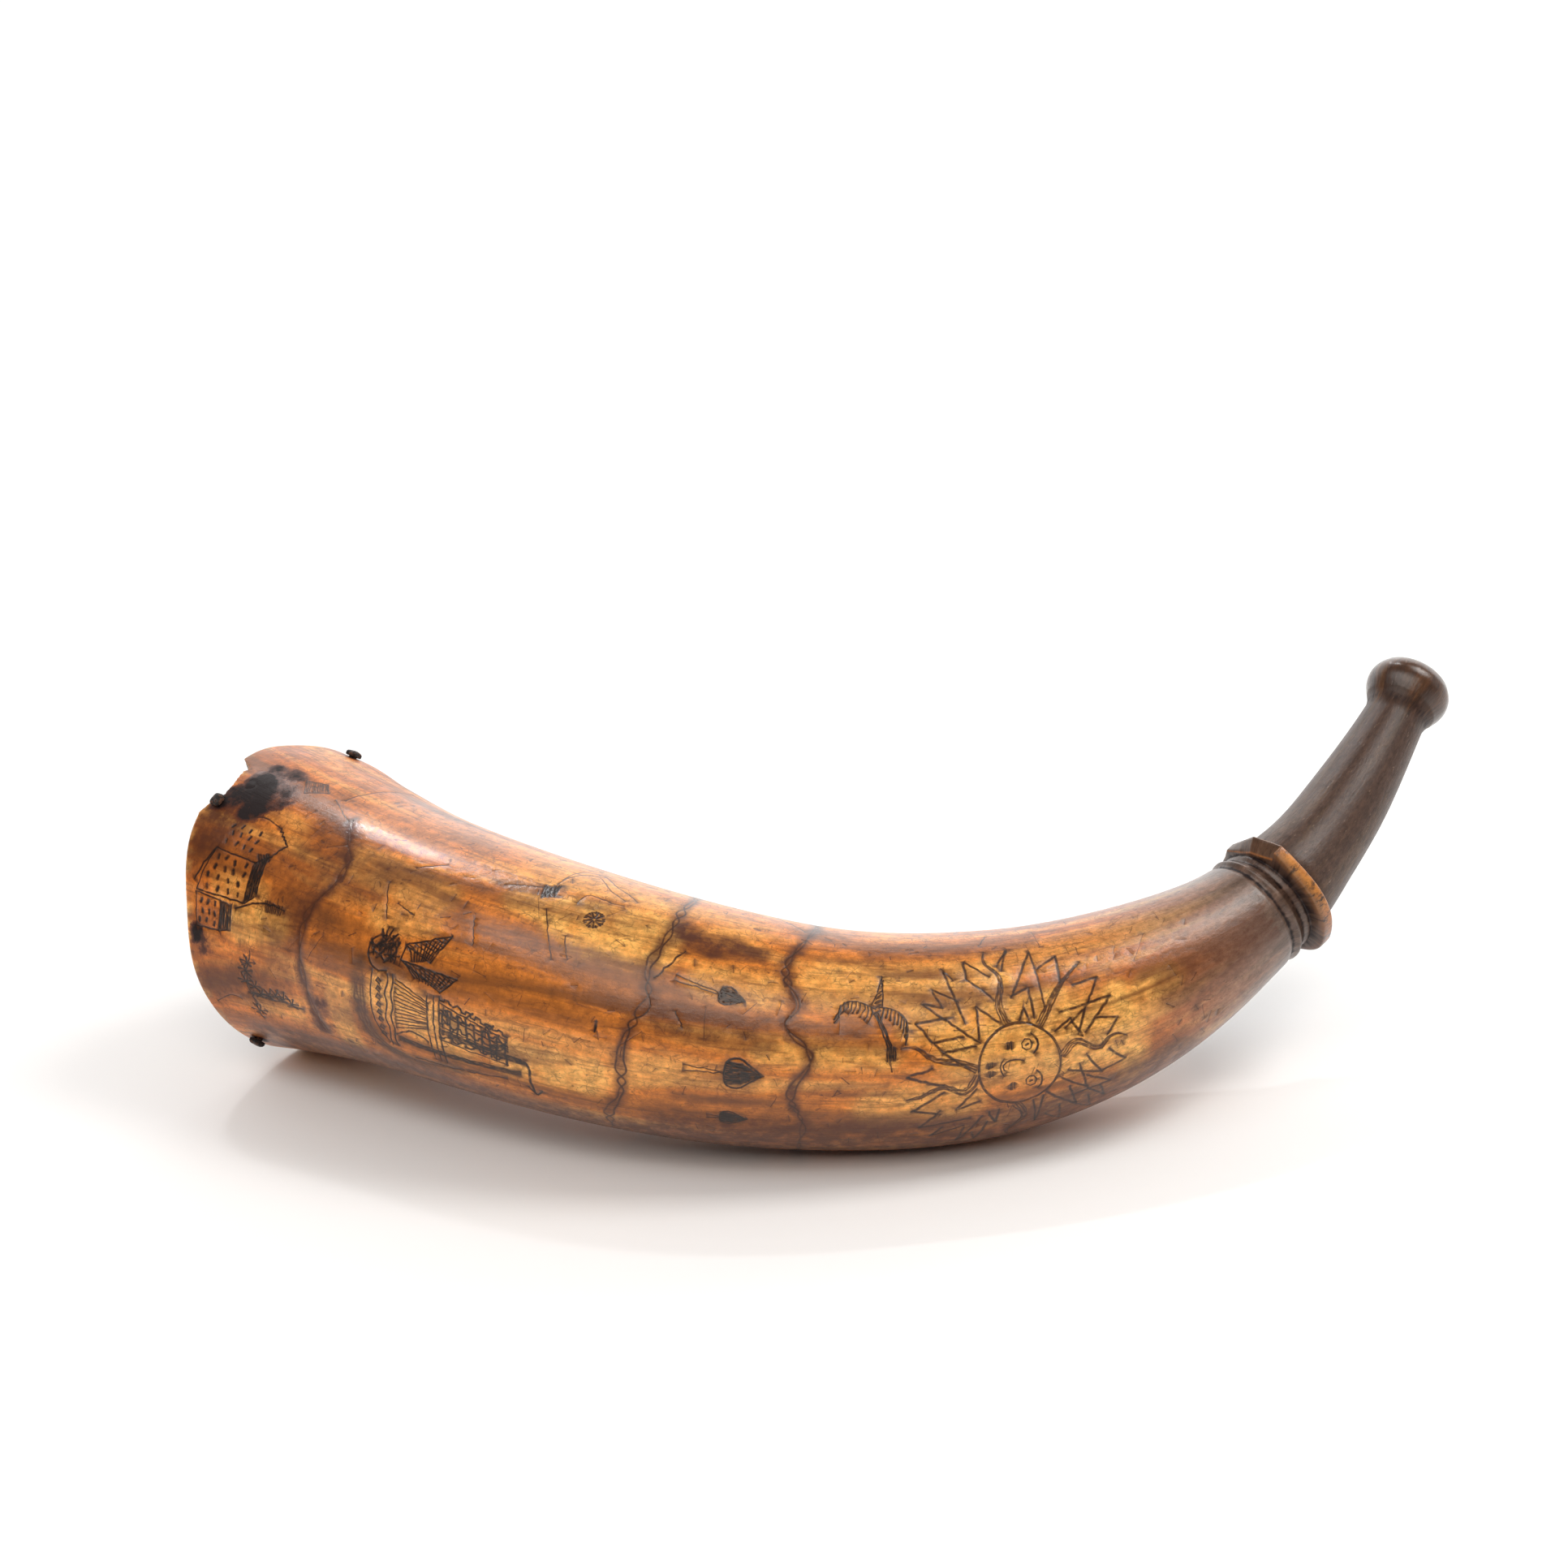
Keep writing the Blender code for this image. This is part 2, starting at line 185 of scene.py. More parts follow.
KNOB = (
    (342.5, 7.95), (344.2, 8.25), (346.2, 9.2), (348.0, 10.1), (349.6, 10.6), (351.2, 10.7),
    (352.8, 10.35), (354.2, 9.6), (355.2, 8.7), (355.9, 7.5), (356.4, 6.0), (356.6, 4.6),
)
INSIDE = 0.08
RIM_OUT = np.array(Vector((-0.7774, 0.6074, -0.1634)).normalized())

STATIONS = length_along(CENTRE_LINE) - BUTT_SPARE


def centre(s):
    """The bent centre line at a distance from the saw cut."""
    return smooth(STATIONS, CENTRE_LINE, s)


def unit(v):
    """Each arrow over its own length."""
    return v / np.linalg.norm(v, axis=-1, keepdims=True)


def axes(s):
    """Along the centre line, the most upright direction square to it, and the third direction."""
    along = unit(centre(s + 0.5) - centre(s - 0.5))
    up = unit(np.array([0, 0, 1.0]) - along * along[..., 2:])
    return along, up, np.cross(along, up)


def butt_form(turn):
    """Extra radius at the saw cut, as a closed curve round the horn."""
    rows = np.array(BUTT_FORM + tuple((a, 0) for a in BUTT_PLAIN), float)
    lap = (np.asarray(turn, float) + 60) % 360 - 60
    return table(np.concatenate([rows - (360, 0), rows, rows + (360, 0)]), lap)


def outer(s, turn):
    """Outer radius: girth, turned beads, hand-cut butt and knob, all a hair inside the solid's own."""
    s, turn = np.broadcast_arrays(np.asarray(s, float), np.asarray(turn, float))
    radius = table(GIRTH, s)
    for place, height, spread in BEADS:
        radius = radius + height * np.exp(-(((s - place) / spread) ** 2))
    radius = radius + ease(1 - np.maximum(s, 0) / BUTT_FADE) * butt_form(turn)
    return np.where(s > KNOB[0][0], table(KNOB, np.clip(s, KNOB[0][0], KNOB[-1][0])), radius) - INSIDE


def inner(s, turn):
    """Radius of the hollow: girth less wall, closing on a quarter ellipse to the drilled passage."""
    s = np.broadcast_arrays(np.asarray(s, float), np.asarray(turn, float))[0]
    hollow = table(GIRTH, np.minimum(s, HOLLOW_END)) - np.interp(s, *np.transpose(WALL))
    closing = np.clip((s - HOLLOW_END) / (PASSAGE[0][0] - HOLLOW_END), 0, 1)
    passage = np.interp(s, *np.transpose(PASSAGE))
    return hollow + (passage - hollow) * np.sqrt(closing * (2 - closing))


def surface(s, turn, radius):
    """Centre + radius * (cos(turn) * up + sin(turn) * side), for whole arrays at once."""
    s, turn, radius = np.broadcast_arrays(s, turn, radius)
    _, up, side = axes(s)
    angle = np.radians(turn)[..., None]
    return centre(s) + radius[..., None] * (np.cos(angle) * up + np.sin(angle) * side)


def on_skin(s, turn):
    """The place on the outside of the horn."""
    return surface(s, turn, outer(s, turn))


print("horn along its bend, mm:", KNOB[-1][0], "and butt across, mm:", 2 * GIRTH[1][1])

# %% [markdown]
# ## The sawn and broken rim
# The saw went through at a slant, so its distance along the centre line changes round the horn. We find it
# by halving: guess a distance, see on which side of the saw's plane the skin lies there, and halve the
# step. A piece has broken out at the upper left. Its line is a few corners with a fine raggedness on top.

# %% Rim and break
BREAK = (
    (9, -1.5), (11.5, 1.2), (14.5, 5.0), (17, 4.3), (24, 4.8), (29, 4.6), (34, 2.4), (38, 0.8), (50, -1.5),
)
RAGGED = 0.16
HALVINGS = 26
NAILS = ((33, 4.6), (138.5, 4.8), (207, 6.5), (265, 8.0), (324.5, 9.4))


def rim_distance(turn, inset, radius=outer):
    """Distance along the horn at which its wall is a given depth inside the saw's plane."""
    turn = np.asarray(turn, float)
    low, high = np.full(turn.shape, -16.0), np.full(turn.shape, 60.0)
    for _ in range(HALVINGS):
        middle = (low + high) / 2
        depth = (centre(0.0) - surface(middle, turn, radius(middle, turn))) @ RIM_OUT
        low, high = np.where(depth < inset, middle, low), np.where(depth < inset, high, middle)
    return middle


def break_depth(turn):
    """How far the broken edge lies inside the saw cut; 0 where the rim is whole."""
    lap = (turn + 180) % 360 - 180
    ragged = RAGGED * (np.sin(lap * 2.9) + np.sin(lap * 5.3 + 1) + np.sin(lap * 11.7 + 2)) / 1.5
    depth = np.interp(lap, *np.transpose(BREAK), left=-1, right=-1)
    return np.where(depth > 0, np.maximum(depth + ragged, 0), 0)


LUG_CORNERS = ((-50, 14.8), (-37, 15.8), (-3, 18.0), (24, 19.7))
SEAM = -160.0
corner_turns = [a + e for a, _ in LUG_CORNERS for e in (-0.12, 0.12)]
turns = np.unique(np.round([*np.arange(SEAM, SEAM + 360, 2.25), *np.arange(8, 41, 1.0), *corner_turns], 3))
chip = break_depth(turns)
print("turns round the horn:", len(turns), "deepest break, mm:", round(chip.max(), 1))

# %% [markdown]
# ## Drawing on a bent surface
# The pictures are drawn flat, in millimetres, and then wrapped on. A point x towards the tip and y upwards
# from a chosen spot moves x along the skin and turns y round it. The skin is longer than the centre line on
# the outside of the bend, so we measure that stretch on the spot. A hand never draws a ruler's line, so
# each line is cut into short steps and shaken a little.

# %% Lines in the engraver's hand
hand = np.random.default_rng(11)
cuts, stains = [], []
STEP = 1.1


def onto_skin(points, s0, turn0, spin=0.0):
    """Flat millimetres to (distance, turn) round the spot (s0, turn0), after a turn by spin degrees."""
    points = np.asarray(points, float)
    two_mm = surface(np.array([s0 - 1, s0 + 1.0]), turn0, outer(s0, turn0))
    stretch = np.linalg.norm(np.diff(two_mm, axis=0)) / 2
    a = np.radians(spin)
    x = points[:, 0] * np.cos(a) - points[:, 1] * np.sin(a)
    y = points[:, 0] * np.sin(a) + points[:, 1] * np.cos(a)
    return np.stack([s0 + x / stretch, turn0 - np.degrees(y / outer(s0, turn0))], -1)


def even_steps(points, step=STEP):
    """The same line with a point about every step."""
    points = np.asarray(points, float)
    length = length_along(points)
    return evenly(points, length, max(2, int(length[-1] / step) + 1))


def curve(points, count=20):
    """A smooth line through a few points, by the length of the chords between them."""
    points = np.asarray(points, float)
    length = length_along(points)
    return smooth(length, points, np.linspace(0, length[-1], count))


def engrave(points, spot, width=0.34, depth=0.12, ink=1.0, shake=0.09):
    """One engraved line: half its width, its depth, and how black it is."""
    line = even_steps(points)
    line = line + hand.normal(0, shake, line.shape)
    cuts.append((onto_skin(line, *spot), width * hand.uniform(0.85, 1.15), depth, ink))


def stain(points, spot, width, strength, kind="brown"):
    """A soft stain along a line: how far it reaches, how strong it is, and of what."""
    stains.append((onto_skin(even_steps(points, 2.0), *spot), width, strength, kind))


def around(radius, turn):
    """A flat point at a radius and a turn: radius * (cosine, sine)."""
    return np.stack([radius * np.cos(np.radians(turn)), radius * np.sin(np.radians(turn))], -1)


def quad(corners, u, v):
    """A place inside four corners, by shares u and v of its sides."""
    a, b, c, d = np.asarray(corners, float)
    u, v = np.asarray(u, float)[..., None], np.asarray(v, float)[..., None]
    return (a * (1 - u) + b * u) * (1 - v) + (d * (1 - u) + c * u) * v


def box(middle, half_x, half_y):
    """Four corners round a middle."""
    return middle + np.array([(-1, 1), (1, 1), (1, -1), (-1, -1)]) * (half_x, half_y)


def outline(corners, spot, **style):
    """Straight strokes from corner to corner and back to the first."""
    corners = [*corners, corners[0]]
    for start, end in zip(corners, corners[1:]):
        engrave([start, end], spot, **style)


def hatch(corners, count, spot, **style):
    """Strokes side by side that fill four corners."""
    for share in (np.arange(count) + 0.5) / count:
        engrave(quad(corners, [share, share], [0.04, 0.96]), spot, **style)


def dots(corners, columns, rows, spot, size=0.62, ink=1.0):
    """Short round pits on a loose lattice, each a line of three points that is widest in the middle."""
    for u, v in np.stack(np.meshgrid(np.arange(columns), np.arange(rows)), -1).reshape(-1, 2):
        middle = quad(corners, (u + 0.6 + 0.2 * (v % 2)) / (columns + 0.4), (v + 0.7) / (rows + 0.4))
        middle = middle + hand.uniform(-0.35, 0.35, 2)
        slant = around(0.42, hand.uniform(60, 120)) * hand.uniform(0.8, 1.1)
        pit = np.array([middle - slant, middle, middle + slant])
        cuts.append((onto_skin(pit, *spot), size * hand.uniform(0.8, 1.2), 0.16, ink))


# %% [markdown]
# ## The pictures
# Horns like this carry whatever their owners liked: houses, a ship, birds, spades on stems, a sun with a
# face, and cord-like bands that part the scenes. They are common figures of folk work, redrawn here with
# our own strokes at the places and sizes that they have on the horn. The houses come first: an outline, a
# darker side filled with strokes, and dots for windows.

# %% Houses
def house(corners, side, columns, rows, spot):
    """A front with dots for windows and a hatched side."""
    outline(corners, spot, width=0.3)
    outline(side, spot, width=0.3)
    dots(corners, columns, rows, spot)
    hatch(side, 8, spot, width=0.4, ink=0.9)


VILLAGE = (16, 58)
WALL_CORNERS = ((-5.6, 5.7), (6.6, 5.7), (7.0, -4.9), (-8.9, -5.3))
SIDE_CORNERS = ((6.9, 5.7), (9.4, 8.4), (10.2, -2.2), (7.2, -4.9))
LOW_WALL = ((-8.9, -5.8), (-0.4, -6.2), (-0.4, -13.8), (-7.8, -14.1))
LOW_SIDE = ((-0.1, -6.4), (3.2, -6.6), (3.6, -12.9), (-0.1, -13.8))
house(WALL_CORNERS, SIDE_CORNERS, 4, 4, VILLAGE)
house(LOW_WALL, LOW_SIDE, 3, 3, VILLAGE)
engrave([(-5.6, 5.7), (-10.0, -3.0)], VILLAGE)
dots(((-6.0, 13.6), (5.4, 14.6), (6.4, 7.0), (-5.0, 6.6)), 4, 3, VILLAGE, size=0.5)
teeth = np.arange(19)
gable = np.interp(teeth, (0, 9, 18), (7.0, 12.2, 8.6)), np.interp(teeth, (0, 9, 18), (16.4, 12.6, 6.6))
engrave(np.stack([gable[0] + 0.9 * (teeth % 2), gable[1] + 0.4 * (teeth % 2)], -1), VILLAGE)
engrave(curve([(-2.0, 15.6), (2.6, 17.4), (7.0, 16.4)]), VILLAGE, ink=0.7)
hatch(((6.2, 7.6), (9.6, 9.0), (10.4, 7.4), (7.8, 5.6)), 5, VILLAGE, width=0.5)
LOZENGE = ((0.2, 33), (5.6, 35.4), (9.0, 32.6), (4.2, 29.0))
outline(LOZENGE, VILLAGE, width=0.3, ink=0.7)
hatch(LOZENGE, 12, VILLAGE, width=0.3, ink=0.55)
engrave(curve([(4.8, -6.8), (7.6, -5.4), (12, -3.6), (19.6, -3.2)]), VILLAGE)
hatch(((13.2, -2.4), (19.0, -2.6), (19.0, -5.0), (13.8, -5.2)), 10, VILLAGE, ink=0.8)
print("lines so far:", len(cuts))

# %% [markdown]
# ## The ship
# An engraver builds a ship from a few kinds of stroke: long curves for hull and decks, stepped lines for
# the rails and rigging, a fan of stays, and a tangle of short strokes where the detail is too small to
# draw.

# %% Ship
SHIP = (72, 88)


def pennant(corners, spot):
    """A flag of three corners, filled with strokes."""
    outline(corners, spot)
    hatch((corners[0], corners[1], corners[1], corners[2]), 8, spot, width=0.3, ink=0.8)


def scribble(corners, count, spot, **style):
    """Short strokes every way inside four corners, as a tangle of rigging or leaves."""
    for _ in range(count):
        u, v = hand.uniform(0.05, 0.95, 2)
        start = quad(corners, u, v)
        engrave([start, start + around(hand.uniform(0.9, 2.6), hand.uniform(0, 180))], spot, **style)


def battlement(start, end, steps, height, spot, **style):
    """A line that steps up and down like a castle wall."""
    k = np.repeat(np.arange(steps + 1), 2)[1:-1]
    rise = height * (np.arange(len(k)) // 2 % 2)
    line = np.asarray(start) + (np.asarray(end) - start) * (k / steps)[:, None]
    engrave(line + np.stack([0 * rise, rise], -1), spot, **style)


keel = curve([(-14.6, 7.6), (-14.2, -2.2), (-12.2, -10.4), (-5.8, -15.2), (7.8, -15.4), (27, -12.5)], 60)
side_line = curve([(-12.0, 7.0), (-12.2, -1.0), (-11.0, -7.6), (-8.2, -12.0)], 30)
engrave(side_line, SHIP)
for shift in (0.0, 1.7):
    t = np.linspace(0, 1, 40)
    wavy = np.stack([-7.4 + shift + 0.35 * np.sin(t * 19), 7.0 - 19.4 * t], -1)
    engrave(wavy, SHIP, width=0.36)
for height in np.linspace(4.6, -9.6, 8):
    middle = np.array([-9.9 + 0.03 * (4.6 - height), height])
    engrave(middle + around(0.8, np.linspace(0, 300, 8)), SHIP, width=0.34, shake=0.04)
for k, height in enumerate(np.linspace(6.2, -6.6, 13)):
    fan = height * 0.55 - 0.6
    engrave([(-4.8, height), (5.2, fan + 0.2 * hand.uniform(-1, 1))], SHIP, width=0.26, ink=0.8)
for x in (4.8, 6.6, 8.2):
    battlement((x, 5.0), (x + 0.8, -13.6), 9, 0.5, SHIP)
for y0, y1, steps in ((4.4, -0.6, 13), (2.0, -3.0, 11), (-1.6, -5.2, 12), (-5.6, -7.8, 10)):
    battlement((8.4, y0), (27.0, y1), steps, 0.9, SHIP, width=0.36)
    engrave([(8.4, y0 - 0.7), (27.0, y1 - 0.8)], SHIP, width=0.3, ink=0.85)
for x in np.arange(9.6, 27, 2.1):
    engrave([(x, 5.4 - 0.27 * x), (x + hand.uniform(-0.4, 0.6), 1.0 - 0.38 * x)], SHIP, width=0.4)
scribble(((8.5, 4.0), (27, 0.2), (28, -7.6), (8.5, -7.2)), 34, SHIP, width=0.34)
for off in (0.0, 0.5, 1.0):
    low_deck = curve([(-4.6, -9.2 - off), (6, -10.2 - off), (16, -10.4 - off), (30, -10.0 - off)], 40)
    engrave(low_deck, SHIP, width=0.42, ink=0.85)
    high_deck = curve([(9.0, -3.4 - off), (20, -4.9 - off), (31.6, -6.2 - off)], 30)
    engrave(high_deck, SHIP, width=0.42, ink=0.9)
engrave(curve([(-1.5, -15.4), (10, -15.2), (26, -13.4)], 40), SHIP, width=0.45, ink=0.7)
engrave(curve([(-5.2, -8.6), (0.8, -6.6), (4.6, -8.2)], 14), SHIP)
pennant(((-3.8, 14.7), (7.8, 19.9), (4.2, 12.4)), SHIP)
pennant(((-4.4, 11.0), (12.2, 10.3), (8.2, 6.2)), SHIP)
hatch(((-3.2, 14.2), (6.6, 19.0), (4.0, 12.6), (-1.0, 11.2)), 9, SHIP)
hatch(((-3.6, 10.6), (11.4, 10.0), (8.2, 6.4), (0.4, 7.8)), 10, SHIP)
engrave([(-4.4, 9.4), (-3.6, 14.6)], SHIP)
nest = ((-14.8, 9.6), (-11.4, 15.4), (-5.2, 14.6), (-6.0, 8.2))
scribble(nest, 44, SHIP, width=0.42)
engrave((-10.0, 11.2) + around(4.3, np.linspace(-20, 300, 30)), SHIP)
for lean in (-1.4, -0.4, 0.5, 1.6):
    engrave([(-9.8 + 0.5 * lean, 14.2), (-9.4 + 1.6 * lean, 18.0 - abs(lean))], SHIP, width=0.4)
engrave(curve([(29.6, -6.4), (31.6, -6.6), (32.4, -11.5), (33.0, -17.3)]), SHIP, width=0.42)
engrave([(31.6, -14.6), (33.4, -17.6), (35.0, -15.4)], SHIP)
for inward in (0.4, 1.2, 2.0, 2.8):
    engrave(keel[4:52] - (inward, 0.25 * inward), SHIP, width=0.5, depth=0.05, ink=0.35, shake=0.2)
stain(keel[:46] - (1.6, 0.6), SHIP, 3.2, 1.0, "soot")
stain([(10, 0.5), (28, -5.5)], SHIP, 2.6, 0.7, "soot")
stain([(-4, -10.2), (30, -10.8)], SHIP, 1.8, 0.75, "soot")
stain([(-10.4, 11.4), (-8.4, 11.8)], SHIP, 4.8, 0.75, "soot")
print("lines with the ship:", len(cuts))

# %% [markdown]
# ## The sun
# A sun with a face is one of the oldest figures of folk work. Its rays are uneven, so each is a row of
# three places round the middle, as turn and reach: foot, tip, foot. They stand roughly as they do on the
# horn.

# %% Sun with a face
SUN = (199.4, 84.5)
SUN_FACE = 9.9
RAYS = (
    (41, 15.9, 23, 28.4, 13, 17.8), (18, 21.9, 11, 26.8, 4, 22.8), (43, 23.9, 34, 29.7, 29, 23.2),
    (67, 24.3, 57, 30.2, 50, 22.6), (88, 16.1, 71, 30.0, 55, 15.1), (92, 25.0, 83, 30.3, 90, 23.5),
    (100, 22.5, 110, 28.9, 115, 24.3), (115, 24.3, 109, 20, 104, 16.4), (122, 26.0, 123, 30.2, 137, 17.0),
    (129, 21.5, 135, 28.3, 139, 23.3), (144, 11.6, 144, 28.2, 139, 23.3), (139, 19.9, 154, 27.3, 160, 22.0),
    (147, 15.7, 160, 22.0, 164, 19.1), (175, 20.9, 180, 26.8, 188, 18.5), (193, 18.8, 199, 27.0, 208, 21.6),
    (206, 21.0, 211, 27.5, 226, 17.4), (219, 23.5, 221, 27.5, 228, 20.1), (230, 20.7, 237, 26.8, 233, 15.6),
    (239, 21.8, 246, 25.4, 242, 17.0), (288, 18.1, 293, 25.2, 301, 17.5), (307, 19.8, 308, 28.4, 317, 22.2),
    (324, 19.1, 318, 28.0, 326, 23.2), (313, 17.5, 330, 25.3, 334, 17.6), (338, 21.4, 345, 27.0, 354, 22.2),
    (143, 11.8, 121, 17.4, 108, 11.1), (82, 10.6, 77, 13.4, 68, 10.8), (88, 16.5, 72, 18.9, 63, 11.8),
    (33, 11.8, 30, 16.6, 12, 16.7), (27, 14.0, 28, 21.3, 15, 15.9), (150, 12.0, 164, 19.1, 176, 12.2),
    (218, 12.5, 211, 17.9, 202, 11.7), (235, 13.8, 249, 16.9, 244, 12.6), (284, 10.6, 280, 19.8, 297, 11.0),
    (303, 10.6, 308, 21.8, 321, 14.6), (329, 10.6, 324, 19.5, 345, 14.9), (339, 12.2, 337, 21.5, 354, 16.4),
)
FLAMES = (
    ((101, 10.4), (102, 14.9), (95, 19.1), (93, 22.0), (99, 26.4), (96, 30.1)),
    ((54, 10.6), (52, 16.7), (49, 23.9), (45, 31.0)),
    ((359, 10.4), (9, 15.1), (357, 20.1), (3, 23.8), (359, 27.2)),
    ((186, 10.4), (199, 14.6), (189, 18.5), (191, 22.7), (192, 27.4)),
    ((177, 10.4), (170, 15.6), (169, 21.7), (165, 25.6), (167, 29.0)),
    ((262, 10.4), (272, 15.8), (262, 21.2), (266, 25.5)),
)


def sun(spot, face):
    """A round face, two layers of pointed rays (foot, tip, foot), and flames that thin out to their tips."""
    for off in (0.0, 0.3):
        engrave(around(face + off, np.linspace(0, 360, 60)), spot, width=0.28, ink=0.7, shake=0.05)
    for row in RAYS:
        first, tip, last = around(*np.reshape(row, (3, 2)).T[::-1])
        engrave([first, tip], spot, width=0.46, ink=0.78)
        engrave([tip, last], spot, width=0.46, ink=0.78)
    for flame in FLAMES:
        turn, reach = np.transpose(flame)
        line = curve(around(reach, turn), 24)
        away = unit(np.gradient(line, axis=0))[:, ::-1] * (-1, 1)
        thin = np.linspace(1, 0, 24)[:, None] ** 0.8
        for off in (-0.95, -0.4, 0.3, 0.85):
            engrave(line + away * thin * off, spot, width=0.3, ink=0.6, shake=0.1)


def folk_face(spot):
    """A round face, turned on its side: rings for eyes, strokes for brow, cheek, nose and mouth."""
    for side in (-1, 1):
        eye = np.array([2.2, side * 4.6])
        engrave(eye + around(1.4, np.linspace(0, 360, 14)), spot, width=0.24, shake=0.03)
        engrave([eye - (0.3, 0.1), eye + (0.3, 0.1)], spot, width=0.3, shake=0.02)
        engrave(eye + around(2.8, np.linspace(-58, 58, 10)), spot, width=0.36, shake=0.04)
        hatch(box((-2.2, side * 5.0), 0.7, 0.8), 4, spot, width=0.34, ink=0.9)
        hatch(box((-7.2, side * 1.1), 0.6, 0.6), 3, spot, width=0.32)
    engrave(curve([(1.0, 0.9), (-3.2, 1.3), (-4.4, 0.2), (-3.4, -1.2)], 12), spot, width=0.26, shake=0.04)
    engrave(curve([(-3.8, 2.2), (-5.0, 0.2), (-4.2, -2.0)], 8), spot, width=0.26, shake=0.04)


sun(SUN, SUN_FACE)
folk_face(SUN)
print("lines with the sun:", len(cuts))

# %% [markdown]
# ## Bird, beast and flower
# Small figures fill the room between the large ones. Their lines are thin and pale, as on a side that hands
# have rubbed for years.

# %% Bird, beast and flower
BIRD = (169.5, 52)


def feathers(root, first, last, count, length, spot):
    """Short curved strokes that fan out from one root."""
    for turn in np.linspace(first, last, count):
        tip = np.asarray(root) + around(length * hand.uniform(0.85, 1.1), turn)
        engrave(curve([root, (np.asarray(root) + tip) / 2 + (0.25, 0.25), tip], 6), spot, width=0.3)


def bird(spot):
    """Neck and beak upwards, feathers that hang from two arched wings, a long tail below."""
    for k in np.linspace(0, 1, 7):
        middle = np.array([1.0 - 1.2 * k, 8.6 - 7.6 * k])
        engrave([middle + (-0.2 - 0.7 * k, -0.5), middle + (0.4 + 0.4 * k, 0.4)], spot, width=0.26, ink=0.9)
    engrave([(1.0, 9.9), (0.0, 5.8), (-1.6, 2.4)], spot, width=0.28)
    engrave([(1.0, 9.9), (1.2, 5.8), (1.0, 2.0)], spot, width=0.28)
    left_wing = curve([(-0.6, 1.6), (-3.6, 3.0), (-7.0, 3.2), (-9.0, 1.4), (-9.0, -0.8)], 13)
    engrave(left_wing, spot, width=0.26)
    for k, place in enumerate(left_wing[1:]):
        fall = -3.8 + 0.2 * k + hand.uniform(-0.5, 0.5)
        engrave(curve([place, place + (0.1, fall / 2), place + (-0.9, fall)], 5), spot, width=0.26, ink=0.9)
    right_wing = curve([(0.4, 2.2), (2.9, 1.8), (5.2, 0.6), (6.7, -1.6), (6.8, -3.6)], 11)
    engrave(right_wing, spot, width=0.26)
    for place in right_wing[1:]:
        fall = hand.uniform(-3.4, -2.4)
        engrave(curve([place, place + (-0.2, -1.4), place + (-0.5, fall)], 5), spot, width=0.3)
    for off in (-0.4, 0.0, 0.4):
        tail = curve([(-0.4 + off, 0.8), (1.0 + off, -2.4), (2.4 + off, -6.2), (3.2 + off, -10.4)], 12)
        engrave(tail, spot, width=0.28)
    hatch(((1.9, -7.3), (4.2, -7.3), (4.2, -10.7), (2.2, -10.8)), 5, spot, width=0.34)
    engrave([(2.8, -10.6), (3.3, -13.2)], spot, width=0.26, ink=0.7)


bird(BIRD)
FLOWER = (105.8, 24)
for turn in np.arange(0, 360, 40):
    engrave([around(0.5, turn), around(2.5, turn + 8)], FLOWER, width=0.28, shake=0.05)
    engrave([around(1.9, turn + 20), around(2.5, turn + 22)], FLOWER, width=0.24, shake=0.03)
BEAST = (98, 6)
BACK = (
    (-16, -6.6), (-10, -4.6), (-5.4, -2.4), (-4.6, 2.6), (-2.0, 8.4), (1.6, 9.4), (6, 6.2), (10.4, 3.6),
    (15.4, 0.2),
)
engrave(curve(BACK, 50), BEAST, width=0.3, ink=0.6)
belly = curve([(-5.0, -1.2), (-2.6, 5.4), (0.6, 7.6), (5.4, 4.0), (12.4, -0.6)], 40)
engrave(belly, BEAST, width=0.26, ink=0.5)
engrave(curve([(2.6, -5.6), (3.4, -2.0), (8.2, -2.4), (13.0, -2.6)], 20), BEAST, width=0.3, ink=0.7)
hatch(((-7.2, -3.2), (-3.8, -1.2), (-3.2, -5.6), (-6.2, -7.4)), 8, BEAST, width=0.45, ink=0.9)
stain([(-17, -6.4), (-13, -5.6)], BEAST, 2.3, 0.75)
stain([(-12, -5.4), (-4, -3.4)], BEAST, 1.4, 0.8)
stain([(3, -5), (9, -4.5)], BEAST, 2.6, 0.35)
print("lines with the bird and the beast:", len(cuts))

# %% [markdown]
# ## Spades, twig and years of scratches
# The spades stand on long stems between the bands, and a leafy twig fills the space below the houses. A few
# spades and rosettes go on the side that the picture doesn't show, in keeping but plainer. Then come the
# scratches of use: a few long ones, and many hair lines, most of them along the horn or across it.

# %% Spades on stems, twigs and strays
def spade(spot, length, width, stem, spin=0.0):
    """A pointed leaf on a double stem, filled with strokes."""
    spot = (*spot, spin)
    edge = np.array([(0, 0), (0.10, 0.42), (0.34, 0.5), (0.7, 0.24), (1, 0)]) * (length, width)
    for side in (1, -1):
        engrave(curve(edge * (1, side), 14), spot, width=0.34, shake=0.04)
        engrave([(0, 0.15 * side), (-stem, 0.7 * side)], spot, width=0.24, ink=0.8)
    for share in np.linspace(-0.9, 0.9, 11):
        tip = length * (1 - 0.6 * abs(share))
        engrave([(0.3, share * width * 0.4), (tip, share * width * 0.34)], spot, width=0.46)
    stain([(length * 0.2, 0), (length * 0.6, 0)], spot, width * 0.62, 0.8, "soot")


